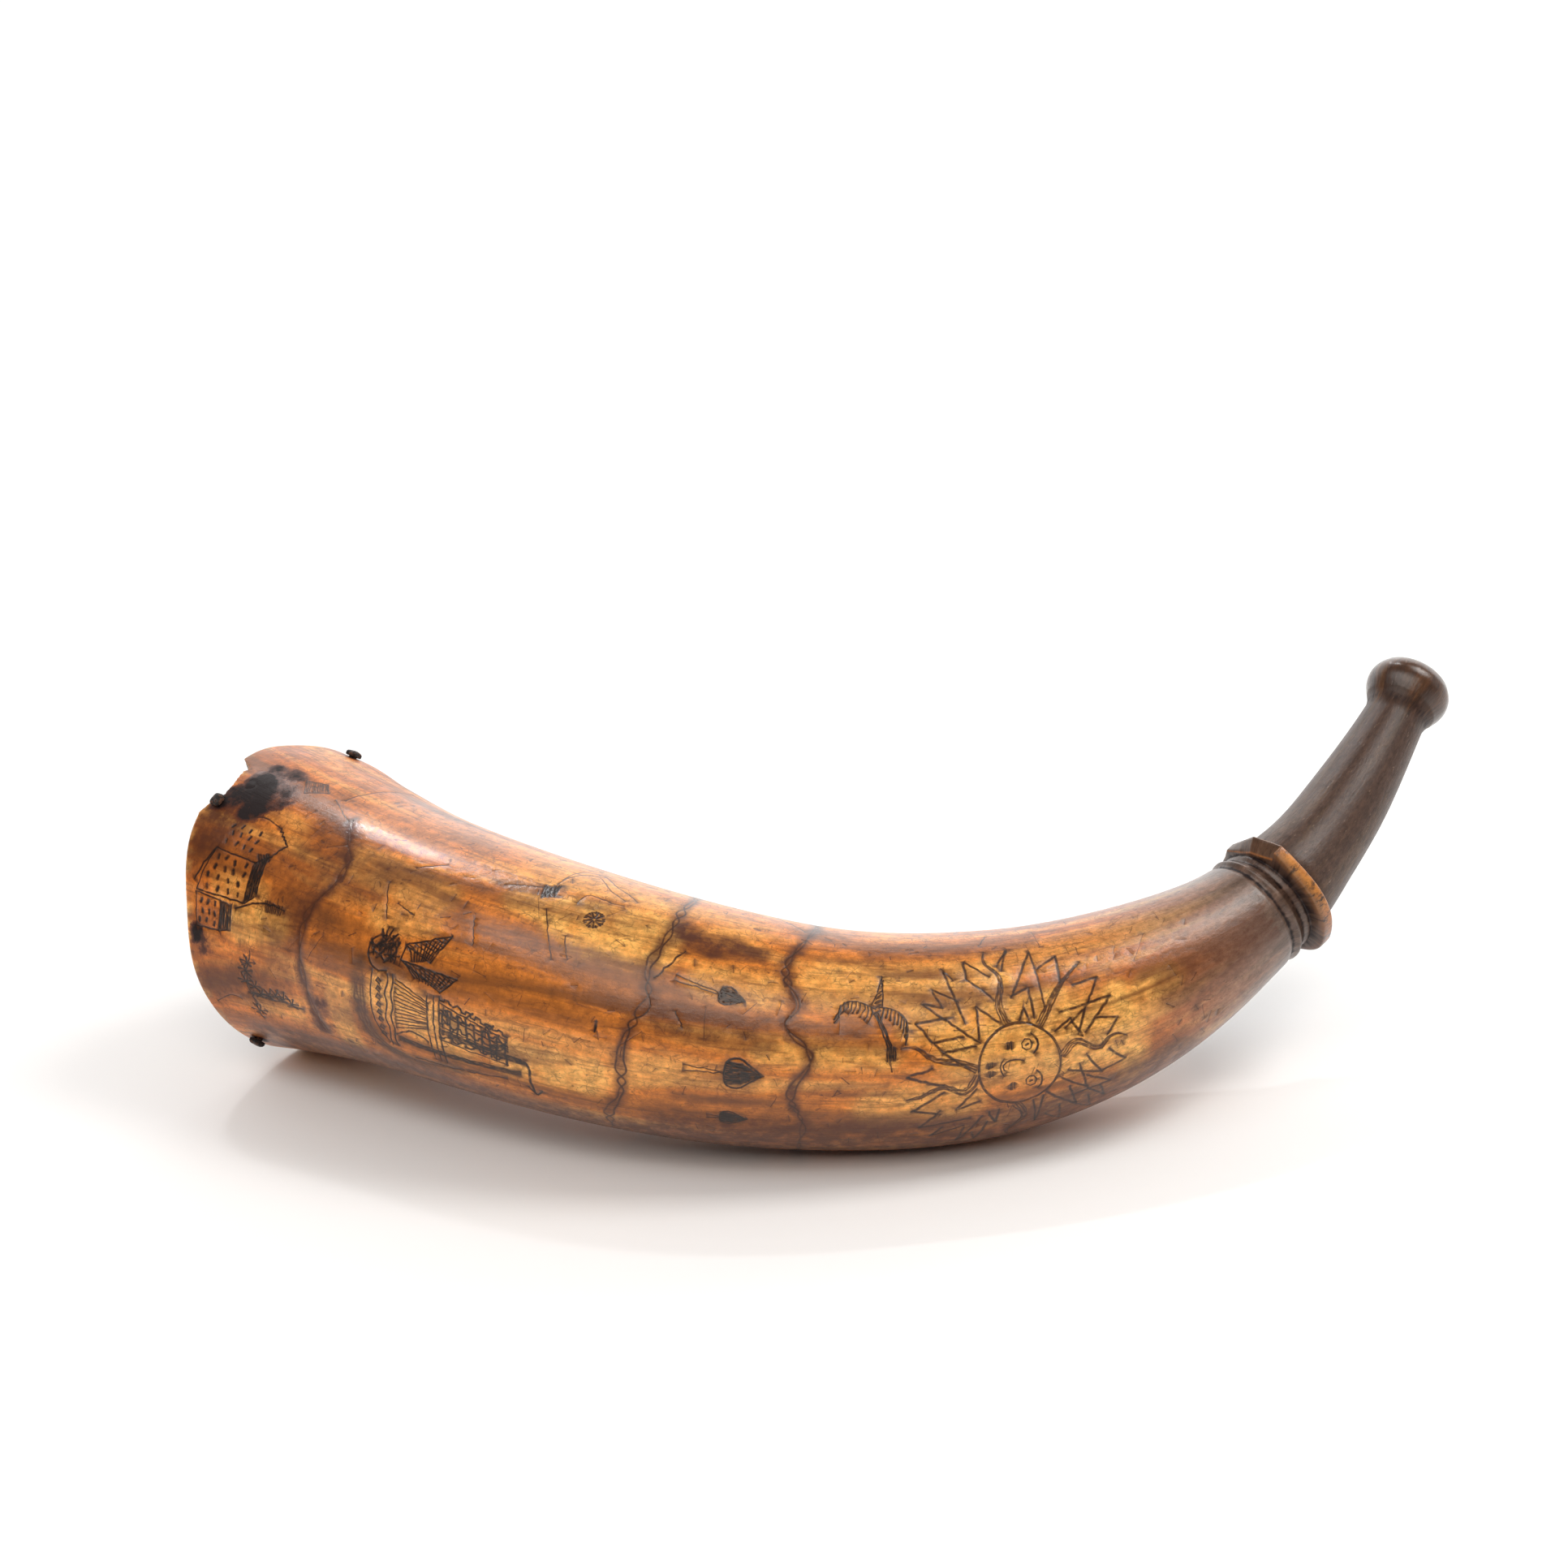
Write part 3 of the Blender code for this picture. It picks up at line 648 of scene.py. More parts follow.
SPADES = (
    ((136, 48), 6.2, 4.4, 11.0, -10),
    ((139.3, 86), 9.2, 7.6, 9.6, 0),
    ((139, 113), 6.4, 4.6, 3.0, 0),
    ((133, 250), 7.5, 6.0, 9.0, 8),
    ((134, 290), 7.0, 5.4, 9.0, -6),
)
for row in SPADES:
    spade(*row)
for spot in ((60, 245), (88, 262), (176, 258), (196, 300)):
    for turn in np.arange(0, 360, 45):
        engrave([around(0.5, turn), around(3.0, turn)], spot, width=0.34, ink=0.85)
engrave(around(1.7, np.linspace(0, 360, 16)), (6.6, 21), width=0.3, ink=0.0, shake=0.03)
NICK = (113, 74)
engrave([(0, 1.2), (0, -1.2)], NICK, width=0.55, depth=0.3)
TWIG = (25, 104)
STEMS = (
    ((-1.6, 0.2), (5.0, -0.6), (11.0, -0.4), (15.2, -1.8)),
    ((-0.6, 0.2), (-1.6, 4.0), (0.2, 9.6)),
    ((0, 0), (-0.4, -8.2)),
)
LEAF_ROOTS = (
    (-1.4, 3.2), (-0.8, 6.2), (0.0, 8.6), (1.2, 2.2), (2.6, 0.0),
    (5.2, 0.2), (7.6, 0.6), (9.6, 0.2), (12.4, -0.8), (-0.2, -5.6),
)
for stem in STEMS:
    engrave(stem, TWIG, width=0.4, ink=0.8, shake=0.35)
for root in LEAF_ROOTS:
    feathers(root, 10, 170, 4, 2.6, TWIG)
    feathers(root, 200, 330, 2, 1.8, TWIG)
for line in (((0, 1), (3, 1.6)), ((10, -0.4), (13, -1)), ((-1, 5), (-0.4, 7))):
    stain(line, TWIG, 1.7, 0.35, "soot")
engrave(curve([(-14.6, -5.0), (-10.6, -3.0), (-8.0, -2.0), (-5.0, -2.6)]), TWIG, width=0.26, ink=0.7)
LONG_SCRATCHES = (
    (95, 25, 101, 49), (101.7, 36, 104, 47), (81.6, 40, 83.6, 52), (30, 6, 33, -28), (28, 8, 37, 16),
    (62, 25, 68, 18), (58, 36, 62, 52), (63, 44, 68, 47), (128, 60, 130, 67), (196, 8, 199, -2),
    (144, -18, 152, -2),
)
for s0, t0, s1, t1 in LONG_SCRATCHES:
    line = np.linspace((s0, t0), (s1, t1), 12) + hand.normal(0, 0.12, (12, 2))
    cuts.append((line, 0.24, 0.1, 0.75))
for _ in range(190):
    spot = (hand.uniform(26, 250), hand.uniform(-40, 150))
    end = around(hand.uniform(0.8, 3.4), hand.choice([hand.normal(0, 25), hand.normal(80, 25)]))
    engrave([(0, 0), end], spot, width=0.17, depth=0.05, ink=hand.uniform(0.2, 0.6), shake=0.04)
print("lines with the strays:", len(cuts))

# %% [markdown]
# ## Cord-like bands
# Three bands part the scenes. Each is two strands that cross each other again and again, which is two sine
# waves half a turn apart, laid along a wandering line round the horn. The first keeps to the near side, and
# the other two run on round the far one. Last come fine scratches that cross everything drawn before them.

# %% Bands
FIRST_BAND = (
    (-60, 40), (22, 40.4), (32, 44.5), (46, 44.7), (61, 41.5), (87, 42.1), (110, 44.6), (190, 42), (250, 40),
)
SECOND_BAND = (
    (-60, 123), (20, 121.8), (45, 121.4), (59, 122.2), (76, 118.8), (93, 119.5), (122, 116.8), (190, 120),
    (250, 124),
)
THIRD_BAND = (
    (-60, 152), (15, 151.4), (28, 149), (41, 150), (52, 152), (58, 150.6), (70, 155.2), (89, 153.7),
    (110, 154.2), (190, 152), (250, 150),
)
HALF_ROUND = (14, 116)
ALL_ROUND = (-56, 296)
BANDS = (
    (FIRST_BAND, HALF_ROUND, 0.8, 0.4, 1.7, 1.0),
    (SECOND_BAND, ALL_ROUND, 1.1, 0.65, 1.2, 0.8),
    (THIRD_BAND, ALL_ROUND, 0.85, 0.55, 1.2, 0.95),
)
DRIFT_EVERY = 11.0
for band, (first, last), half_width, ink, wash_out, wash in BANDS:
    rows = np.array([*band, (300, band[0][1])], float)
    turn = np.arange(first, last, 0.9)
    knots = np.arange(first, last + 12, DRIFT_EVERY)
    drift = smooth(knots, hand.normal(0, 1, len(knots)), turn)[:, 0]
    middle = table(rows, turn) + 0.3 * drift
    swell = half_width * (0.72 + 0.3 * np.sin(turn * 0.21 + half_width))
    phase = turn * 0.24 + 1.4 * drift
    for shift, strand_ink in ((0.0, 1.0), (np.pi, 0.85)):
        line = middle + swell * np.sin(phase + shift)
        cuts.append((np.stack([line, turn], -1), 0.34, 0.1, ink * strand_ink))
    stains.append((np.stack([middle, turn], -1), half_width + wash_out, wash, "brown"))
engrave(curve([(0, 0), (-2.4, -4.0), (-4.6, -8.2)]), (126.7, 30), width=0.4, ink=0.8, shake=0.25)
for number in range(200):
    spot = (hand.uniform(30, 245), hand.uniform(-30, 140))
    longest = 9.0 if number % 8 == 0 else 2.6
    end = around(hand.uniform(0.35, 1) * longest, hand.normal(75, 30))
    engrave([(0, 0), end], spot, width=0.16, depth=0.05, ink=hand.uniform(0.25, 0.6), shake=0.06)
print("lines in all:", len(cuts))

# %% [markdown]
# ## Scorch marks and old stains
# Something hot has touched the horn beside the break and again lower on the rim, and hands or a strap have
# left brown clouds. Two long brown bands darken the underside along most of the body. Between the stains some
# stretches are paler gold, and two are rubbed to a shine. All are broad and soft. A row says where one starts
# (distance and turn), its width and its strength, and then how its path goes on from there, in millimetres.

# %% Scorch and stain
STAINS = {
    "black": (
        (9, 18, 6.0, 0.95, 2, -3), (11.5, 26, 4.6, 0.9, 1, -3), (8, 9, 3.6, 0.6, 6, 1),
        (5.5, 29, 4.6, 0.7, 0, 1), (12, 16, 8.5, 0.5, 3, -4), (8.6, 84, 3.0, 1.0, 0, 1),
        (9.6, 85, 4.6, 0.45, 1, -1), (45, 112, 5.0, 0.3, 1, 5),
    ),
    "brown": (
        (7, 44, 10.0, 0.95, 2, 6), (14, 102, 8.0, 0.8, 16, 2), (42, 26, 3.0, 0.7, 0, -12, -4, -24),
        (136, 22, 3.0, 0.9, 8, -1), (84, 19, 2.0, 0.8, 8, 1), (60, 26, 2.2, 0.4, 50, 0),
        (46, 98, 6.0, 0.5, 16, -2), (126, 64, 6.0, 0.75, 24, -1), (155, 66, 2.6, 0.5, 22, -2),
        # The two long rows at turns 138 and 130 darken the underside along most of the body.
        (24, 138, 15.0, 0.95, 120, -6), (130, 130, 13.0, 0.95, 120, 0), (158, 92, 2.2, 0.4, 16, 0),
        (132, 98, 5.0, 0.4, 14, 0), (40, 42, 8.0, 0.6, 16, 2), (238, 70, 8.0, 0.6, 30, 2),
        (168, 14, 3.0, 0.5, 40, 2), (20, 44, 5.0, 0.45, 10, -2), (34, 24, 8.0, 0.55, 1, -18, 0, -40),
        (48, 24, 5.0, 0.3, 0, -30), (3, 36, 6.0, 0.6, 2, -12), (3, 96, 7.0, 0.5, 6, -2),
        (112, 60, 3.0, 0.35, 10, -1), (140, 62, 3.5, 0.55, 30, 0),
    ),
    "shine": (
        (40, 16.8, 4.2, 1.0, 13, 0, 27, -1), (88, 46, 7.0, 0.4, 18, -8),
    ),
    "gold": (
        (106, 32, 9.0, 1.0, 16, 0), (88, 24, 5.0, 0.9, 14, -2), (22, 74, 6.5, 0.9, 12, 2),
        (66, 86, 9.0, 0.8, 20, -6), (96, 100, 8.0, 0.9, 20, 0), (132, 44, 6.0, 0.7, 16, 0),
        (158, 36, 9.0, 0.8, 40, 0), (190, 70, 13.0, 0.9, 34, -4), (232, 62, 5.0, 0.9, 6, 0),
        (170, 104, 8.0, 0.7, 20, 2), (52, 92, 5.5, 0.7, 0, -14), (28, 108, 5.0, 0.5, 10, 0),
        (60, 52, 5.0, 0.5, 14, 2), (16, 62, 6.0, 0.5, 10, 0), (100, 26, 9.0, 1.0, 22, 2),
        (224, 62, 6.0, 1.0, 0, -20), (178, 56, 7.0, 0.9, 34, 0), (146, 74, 4.0, 0.8, 30, 0),
        (105.8, 24, 4.6, 1.0, 0.2, 0), (48, 32, 7.0, 0.6, 26, -2), (106, 22, 6.0, 1.0, 18, 0),
    ),
}
for kind, rows in STAINS.items():
    for s, turn, width, strength, *path in rows:
        stain(np.reshape([0, 0, *path], (-1, 2)), (s, turn), width, strength, kind)
stain([(0, 1.5), (4, -1.5), (8, -2.5), (12, -0.5)], (125, 20), 4.6, 1.0)
for place, inset in NAILS:
    stain([(0, 0), (0.2, 0)], (rim_distance(place, inset), place), 3.4, 0.75, "black")
print("stains:", len(stains))

# %% [markdown]
# ## A mesh that follows the lines
# A plain grid fine enough for hair lines would need millions of faces. So the skin between the rim and the
# beads is cut along the drawing: every line goes in as three strings of points, its two banks and its bed.
# A constrained Delaunay triangulation joins them to a coarse grid in the flat (turn, distance) plane. The
# bed is then sunk, which gives a true V-shaped groove, and it also carries the soot.

# %% Triangulate the engraved skin
JOIN = 268.0
LIP = 1.1
CHIP_LIP = 0.25
ROWS_APART = 1.9
RIM_MARGIN = 0.8
SIDE_STRETCH = 1.1
PLANE = 0.5
lip = np.where(chip > 0, CHIP_LIP, LIP)
rim_edge = rim_distance(turns, chip)
skin_start = rim_edge + lip
lap_turns = np.append(turns, turns[0] + 360)
lap_start = np.append(skin_start, skin_start[0])


def banks(line, half_width):
    """The left bank, the bed and the right bank of a groove, tapering to both ends."""
    s, turn = line.T
    radius = outer(s, turn)
    step = unit(np.gradient(np.stack([s * SIDE_STRETCH, np.radians(turn) * radius], -1), axis=0))
    taper = 0.35 + 0.65 * np.minimum(1, 2.5 * np.sin(np.linspace(0.12, np.pi - 0.12, len(s))))
    away = half_width * taper
    shift = np.stack([-step[:, 1] * away / SIDE_STRETCH, np.degrees(step[:, 0] * away / radius)], -1)
    return [line - shift, line, line + shift]


def inside_skin(line):
    """Which points of a line are on the engraved skin and clear of its seam."""
    lap = (line[:, 1] - SEAM) % 360
    start = np.interp(lap + SEAM, lap_turns, lap_start)
    return (lap > 1.2) & (lap < 358.8) & (line[:, 0] > start + 0.7) & (line[:, 0] < JOIN - 1)


def pieces_of(line):
    """The runs of a line that stay inside the skin, with turns counted from the seam."""
    good = inside_skin(line)
    wrapped = np.stack([line[:, 0], (line[:, 1] - SEAM) % 360 + SEAM], -1)
    edges = np.flatnonzero(np.diff(np.concatenate([[False], good, [False]]).astype(int)))
    runs = [wrapped[a:b] for a, b in zip(edges[::2], edges[1::2])]
    return [r for r in runs if len(r) > 1 and np.abs(np.diff(r[:, 1])).max() < 180]


grooves = [(r, w, d, k) for line, w, d, k in cuts for r in pieces_of(line)]
strings = [bank for r, w, _, _ in grooves for bank in banks(r, w)]
rows = np.arange(-8, JOIN - 1.2, ROWS_APART)
grid = np.stack(np.meshgrid(rows, turns[1:], indexing="ij"), -1).reshape(-1, 2)
grid = grid[grid[:, 0] > np.interp(grid[:, 1], lap_turns, lap_start) + RIM_MARGIN]
print("grooves:", len(grooves), "grid points:", len(grid))

# %% [markdown]
# ## How near is the next line?
# Depth, soot and stains all ask the same: how far is this point from the nearest line, as a share of that
# line's width? We sample every line closely and compare points with samples one millimetre of the horn at a
# time, because all against all would not fit in memory. The same answer clears the grid away from the
# grooves. Guard points go in past both ends of every line, so that soot can't run on to the next one.

# %% Nearness to the lines
def samples(line, step):
    """Points close together along a line, measured in millimetres on the skin."""
    length = length_along(on_skin(*line.T))
    return evenly(line, length, max(2, int(length[-1] / step)))


def nearness(points, lines, step, fall):
    """Each point's largest value * fall(distance / width) over all lines, a band of the horn at a time."""
    path = [samples(line, step) for line, *_ in lines]
    each = [np.tile(values, (len(p), 1)) for p, (_, *values) in zip(path, lines)]
    path, each = np.concatenate(path), np.concatenate(each).astype(float)
    order = np.argsort(path[:, 0])
    path, each = path[order], each[order]
    places, mine = on_skin(*path.T), on_skin(*points.T)
    reach = each[:, 0].max()
    found = np.zeros((len(points), each.shape[1] - 1))
    for low in np.arange(points[:, 0].min(), points[:, 0].max() + 1):
        band = np.flatnonzero((points[:, 0] >= low) & (points[:, 0] < low + 1))
        a, b = np.searchsorted(path[:, 0], (low - 1.3 * reach - 0.1, low + 1 + 1.3 * reach + 0.1))
        if not len(band) or a == b:
            continue
        gap = np.linalg.norm(mine[band, None] - places[None, a:b], axis=2) / each[None, a:b, 0]
        share = fall(np.clip(1 - gap, 0, 1))
        for column in range(found.shape[1]):
            found[band, column] = (share * each[None, a:b, column + 1]).max(axis=1)
    return found


GRID_CLEARANCE = 0.55
GUARD_DISTANCE = 0.08
clear_of = [(r, w + GRID_CLEARANCE, 1.0) for r, w, _, _ in grooves]
taken = nearness(grid, clear_of, 0.3, np.ceil)[:, 0] > 0
ends = np.array([(r[i], r[i + step]) for r, *_ in grooves for i, step in ((0, 1), (-1, -1))])
widths = np.repeat([w for _, w, _, _ in grooves], 2)[:, None]
per_mm = np.stack([np.ones(len(ends)), np.degrees(1 / outer(*ends[:, 0].T))], -1)
outwards = unit((ends[:, 0] - ends[:, 1]) / per_mm)
short = np.repeat([len(r) < 4 for r, *_ in grooves], 2)
guards = []
for fan in (0, -65, 65):
    c, n = np.cos(np.radians(fan)), np.sin(np.radians(fan))
    fanned = outwards @ np.array([[c, n], [-n, c]])
    guards.append((ends[:, 0] + fanned * per_mm * (widths + GUARD_DISTANCE))[short | (fan == 0)])
guards = np.concatenate(guards)
guards = guards[inside_skin(guards)]
grid = np.concatenate([grid[~taken], guards])
print("grid points kept clear of the grooves:", len(grid))

# %% [markdown]
# ## Join it all in the plane
# The rim, the far end and the seam go in as strings too, so that the skin ends exactly on them. Both sides
# of the seam get the same points, which lets the two edges weld into one later. Depth and stains are then
# read at every point of the new mesh.

# %% Join grid, grooves and edges
GROOVE_STEP = 0.14
STAIN_STEP = 0.5
seam_rows = rows[rows > skin_start[0] + RIM_MARGIN]
ring_end = np.stack([np.full(len(lap_turns), JOIN), lap_turns], -1)
ring_start = np.stack([lap_start, lap_turns], -1)
seam_left = np.stack([seam_rows, np.full(len(seam_rows), SEAM)], -1)
seam_left = np.concatenate([ring_start[:1], seam_left, ring_end[:1]])
seam_right = seam_left + (0, 360)
strings += [ring_start, ring_end, seam_left, seam_right]
lengths = [len(string) for string in strings]
offsets = np.append(0, np.cumsum(lengths))[:-1] + len(grid)
edges = [(int(o + i), int(o + i + 1)) for o, n in zip(offsets, lengths) for i in range(n - 1)]
flat_points = np.concatenate([grid, *strings])
plane_points = [Vector((turn * PLANE, s)) for s, turn in flat_points.tolist()]
found = delaunay_2d_cdt(plane_points, edges, [], 0, 1e-5, False)
skin_flat = np.array([tuple(v) for v in found[0]])[:, ::-1] / (1, PLANE)
skin_faces = np.array(found[2])
middles = skin_flat[skin_faces].mean(axis=1)
skin_faces = skin_faces[middles[:, 0] > np.interp(middles[:, 1], lap_turns, lap_start)]
print("engraved skin:", len(skin_flat), "points,", len(skin_faces), "triangles")
groove_values = nearness(skin_flat, grooves, GROOVE_STEP, lambda x: x)


def soft_fall(x):
    """Full over the inner part of a stain, then an S curve down to 0 at its edge."""
    return ease(1.8 * x)


def stain_value(kind):
    """One kind of stain at each point of the skin; a stain wholly off the skin still reaches onto it."""
    mine = [row[:3] for row in stains if row[3] == kind]
    lines = [(r, w, v) for line, w, v in mine for r in pieces_of(line)]
    lone = [row for row in mine if not pieces_of(row[0])]
    return nearness(skin_flat, lines + lone, STAIN_STEP, soft_fall)[:, 0]


STAIN_KINDS = ("brown", "black", "gold", "soot", "shine")
brown, black, gold, soot, shine = (stain_value(kind) for kind in STAIN_KINDS)
print("deepest groove, mm:", round(groove_values[:, 0].max(), 2))

# %% [markdown]
# ## Beads, collar, neck and knob
# In front of the engraved body the horn is turned and filed: two sharp grooves with a bead between them, a
# raised collar that stopped a strap from slipping, a slim neck, and a ball at the spout. The collar's lug
# is filed flat, so its radius follows straight chords, and its middle flat slopes down to the body.

# %% Collar
COLLAR_ROUND = (
    (24, 19.7), (41, 18.5), (66, 18.3), (92, 18.0), (112, 17.5), (130, 17.2), (143, 16.3), (156, 15.3),
    (172, 14.9), (200, 14.9), (255, 14.9), (310, 14.8),
)
COLLAR_FRONT = 281.0
LUG_FALL = 3.15
COLLAR_ROWS = (
    (277.3, 0, 0), (277.68, 0, 0), (277.76, 0.08, 0), (277.8, 0.5, 0.4), (277.84, 1, 0.42), (277.96, 1, 0.16),
    (278.2, 1, 0.02), (278.7, 1, 0), (279.4, 1, 0), (280.1, 1, 0), (280.6, 1, 0.02), (280.84, 1, 0.16),
    (280.98, 1, 0.42), (281.02, 0.5, 0.4), (281.06, 0.08, 0), (281.16, 0, 0), (281.6, 0, 0),
)


def chord_radius(turn, first, last):
    """Radius of a straight line between two corners given as (turn, radius)."""
    (a, ra), (b, rb) = first, last
    a, b, turn = np.radians(a), np.radians(b), np.radians(turn)
    return ra * rb * np.sin(b - a) / (ra * np.sin(turn - a) + rb * np.sin(b - turn))


def collar_radius(s, turn):
    """Round curve on most of the collar, three straight flats on the lug, the middle one sloped."""
    lap = (np.asarray(turn, float) + 50) % 360 - 50
    radius = table(COLLAR_ROUND, np.clip(lap, 24, 310))
    for first, last in zip(LUG_CORNERS, LUG_CORNERS[1:]):
        here = (lap >= first[0]) & (lap < last[0])
        radius = np.where(here, chord_radius(np.where(here, lap, first[0]), first, last), radius)
    lug_turns = [corner[0] for corner in LUG_CORNERS[1:]]
    slope = np.interp(lap, (*lug_turns, lug_turns[-1] + 0.3), (0, 1, 1, 0))
    return radius - INSIDE - LUG_FALL * slope * np.clip((COLLAR_FRONT - 0.4 - s) / 2.8, 0, 1)


FRONT_ROWS = np.concatenate([
    [JOIN, 268.8, 269.6], np.arange(270.2, 277.2, 0.3), [282.2, 282.8, 283.4, 284.2],
    np.arange(286, 341, 3.0), [342.5, 343.2, 343.9], np.arange(344.4, 355.3, 0.6), [355.55, 355.9, 356.2],
    [356.4, 356.55, 356.6],
])
NECK_GROOVE = (283.0, 0.45, 0.5)
row_table = sorted([(s, 0, 0) for s in FRONT_ROWS] + list(COLLAR_ROWS))
front_s, share, bevel = np.array(row_table).T[:, :, None]
ring_turns = turns[None, :]
groove_s, groove_depth, groove_width = NECK_GROOVE
neck_groove = groove_depth * np.exp(-(((front_s - groove_s) / groove_width) ** 2))
front_radius = outer(front_s, ring_turns) - neck_groove
front_radius = front_radius * (1 - share) + (collar_radius(front_s, ring_turns) - bevel) * share
front = surface(front_s, ring_turns, front_radius)
print("rows in front of the body:", len(front), "lug corner from the axis, mm:", round(front_radius.max(), 1))

# %% [markdown]
# ## The inside and the sawn edge
# The sheet goes on over the knob's end, down the drilled passage and along the hollow to the rim, where it
# turns out over the saw cut and meets the skin. So the horn is one closed body with a true wall. The edges
# of the cut are rounded by wear: a curve from side to side, pulled towards the corner without reaching it.

# %% Inside and rim
def rounded(start, corner, end, steps):
    """Points on the quadratic curve from start to end that bends towards the corner."""
    t = np.linspace(0, 1, steps)[:, None, None]
    return start * (1 - t) ** 2 + 2 * corner * t * (1 - t) + end * t**2


def on_wall(s, radius):
    """Whole rings of places at given distances and radii."""
    return surface(s, np.broadcast_to(ring_turns, np.broadcast_shapes(np.shape(s), ring_turns.shape)), radius)


SPOUT_ROWS = ((356.64, 3.9), (356.5, 3.4), (356.1, 3.08), (355.5, 3.0))
spout = np.concatenate([on_wall(np.full((1, 1), s), np.full((1, len(turns)), r)) for s, r in SPOUT_ROWS])
BORE_ROWS = (
    354, 352, 348.5, 345, 338, 330, 320, 310, 300, 290, 283, 279, 276, 273, 270.5, 268.8, 267.6, 267,
)
hollow_rows = np.concatenate([BORE_ROWS, np.arange(261, 30, -8)])[:, None]
hollow = on_wall(hollow_rows, inner(hollow_rows, ring_turns))

inner_edge_s = rim_distance(turns, chip, inner)
mouth_s = rim_distance(turns, chip + 0.6, inner)
MOUTH = 29
approach = np.linspace(MOUTH, 0, 5)[1:-1, None] / MOUTH
mouth_rows = mouth_s + (MOUTH - mouth_s) * approach
mouth = on_wall(mouth_rows, inner(mouth_rows, ring_turns))
outer_edge = on_skin(rim_edge, turns)
inner_edge = surface(inner_edge_s, turns, inner(inner_edge_s, turns))
inner_lip = surface(mouth_s, turns, inner(mouth_s, turns))
outward = unit(outer_edge - inner_edge)
face_in = inner_edge + outward * 0.5
face_out = outer_edge - outward * lip[:, None]
skin_edge = on_skin(skin_start, turns)
across = np.linspace(0, 1, 8)[1:-1, None, None]
face = face_in * (1 - across) + face_out * across
broken = ease(chip / 1.5)[None, :, None]
round_turns = ring_turns[..., None]
crumble = np.sin(round_turns * 3.1 + across * 31) + np.sin(round_turns * 6.7 - across * 23)
face = face + RIM_OUT * crumble * 0.14 * broken
inner_round = rounded(inner_lip, inner_edge, face_in, 4)
outer_round = rounded(face_out, outer_edge, skin_edge, 5)
rim = np.concatenate([inner_round, face, outer_round])
sheet = np.concatenate([front, spout, hollow, mouth, rim])
wall = np.linalg.norm(outer_edge - inner_edge, axis=1).mean()
print("rows of the closed sheet:", len(sheet), "wall at the cut, mm:", round(wall, 1))

# %% [markdown]
# ## From numbers to a mesh
# Skin and sheet meet at the rim and at the beads, where both have the same points. Welding those points
# makes one closed body. A closed body has no open edge, so we count those and print the number, which
# should be 0.

# %% Mesh helpers
def grid_faces(rows, columns, start=0):
    """Four-sided faces of a grid of points that closes on itself sideways."""
    i, j = np.meshgrid(np.arange(rows - 1), np.arange(columns), indexing="ij")
    k = (j + 1) % columns
    corners = np.stack([i * columns + j, i * columns + k, (i + 1) * columns + k, (i + 1) * columns + j], -1)
    return corners.reshape(-1, 4) + start


def capped_faces(rows, columns):
    """The same grid turned inside out, with one face over its first ring and one over its last."""
    first, last = np.arange(columns)[None], np.arange((rows - 1) * columns, rows * columns)[None]
    return [grid_faces(rows, columns)[:, ::-1], first, last[:, ::-1]]


def piece(name, points, faces, values=(), vectors=()):
    """A mesh object in metres from points in mm, its seams welded, with its values kept on the points."""
    mesh = bpy.data.meshes.new(name)
    mesh.from_pydata((np.asarray(points) * MM).tolist(), [], [f for part in faces for f in part.tolist()])
    for label, numbers in dict(values).items():
        values_on = mesh.attributes.new(label, "FLOAT", "POINT").data
        values_on.foreach_set("value", np.asarray(numbers, np.float32))
    for label, numbers in dict(vectors).items():
        vectors_on = mesh.attributes.new(label, "FLOAT_VECTOR", "POINT").data
        vectors_on.foreach_set("vector", np.float32(numbers).ravel())
    work = bmesh.new()
    work.from_mesh(mesh)
    bmesh.ops.remove_doubles(work, verts=work.verts, dist=1e-6)
    bmesh.ops.dissolve_degenerate(work, edges=work.edges, dist=1e-7)
    open_edges = sum(not e.is_manifold for e in work.edges)
    work.to_mesh(mesh)
    work.free()
    mesh.shade_smooth()
    made = put(name, mesh)
    mesh.calc_loop_triangles()
    print(name, "triangles:", len(mesh.loop_triangles), "open edges:", open_edges)
    return made


# %% [markdown]
# ## Where the horn is worn, dirty or sawn
# The material needs to know more than shape: where soot lies, where a hand has rubbed an edge pale, where
# the saw has left raw horn. Each is a number from 0 to 1 kept on the points of the mesh, and the material
# reads it by name. A last one, the way, says how far along the horn and how far round it a point lies, for
# the grain.

# %% One body
skin_s, skin_turn = skin_flat.T
from_top = np.abs((skin_turn + 180) % 360 - 180)
shallow = np.interp(from_top, (0, 20, 60), (0.3, 0.4, 1.0))
skin_points = surface(skin_s, skin_turn, outer(skin_s, skin_turn) - groove_values[:, 0] * shallow)
sheet_points = sheet.reshape(-1, 3)
sheet_s = np.concatenate([
    np.repeat(front_s[:, 0], len(turns)), np.full(len(spout) * len(turns), 356.6),
    np.repeat(hollow_rows[:, 0], len(turns)), mouth_rows.ravel(), np.tile(rim_edge, len(rim)),
])
kind_of_row = np.repeat([0, 0, 1, 1, 2], [len(front), len(spout), len(hollow), len(mouth), len(rim)])
kind_of_row[-len(outer_round):] = 0
sheet_kind = np.repeat(kind_of_row, len(turns))
# Darker rings in the grooves and at the foot of the collar and the knob: place along the horn, width and
# strength.
GROOVE_DARKENING = (
    (271.6, 0.6, 0.8), (275.5, 0.55, 0.65), (277.5, 0.6, 0.75), (281.7, 1.1, 0.8), (283.1, 0.6, 0.5),
    (343.4, 1.6, 0.5),
)


def in_front(values, on_rim=0.0):
    """Values for the whole sheet: some for the rows in front, one for the rim's last rows, else 0."""
    whole = np.zeros((len(sheet), len(turns)))
    whole[: len(front)] = values
    whole[-len(outer_round):] = on_rim
    return whole.ravel()


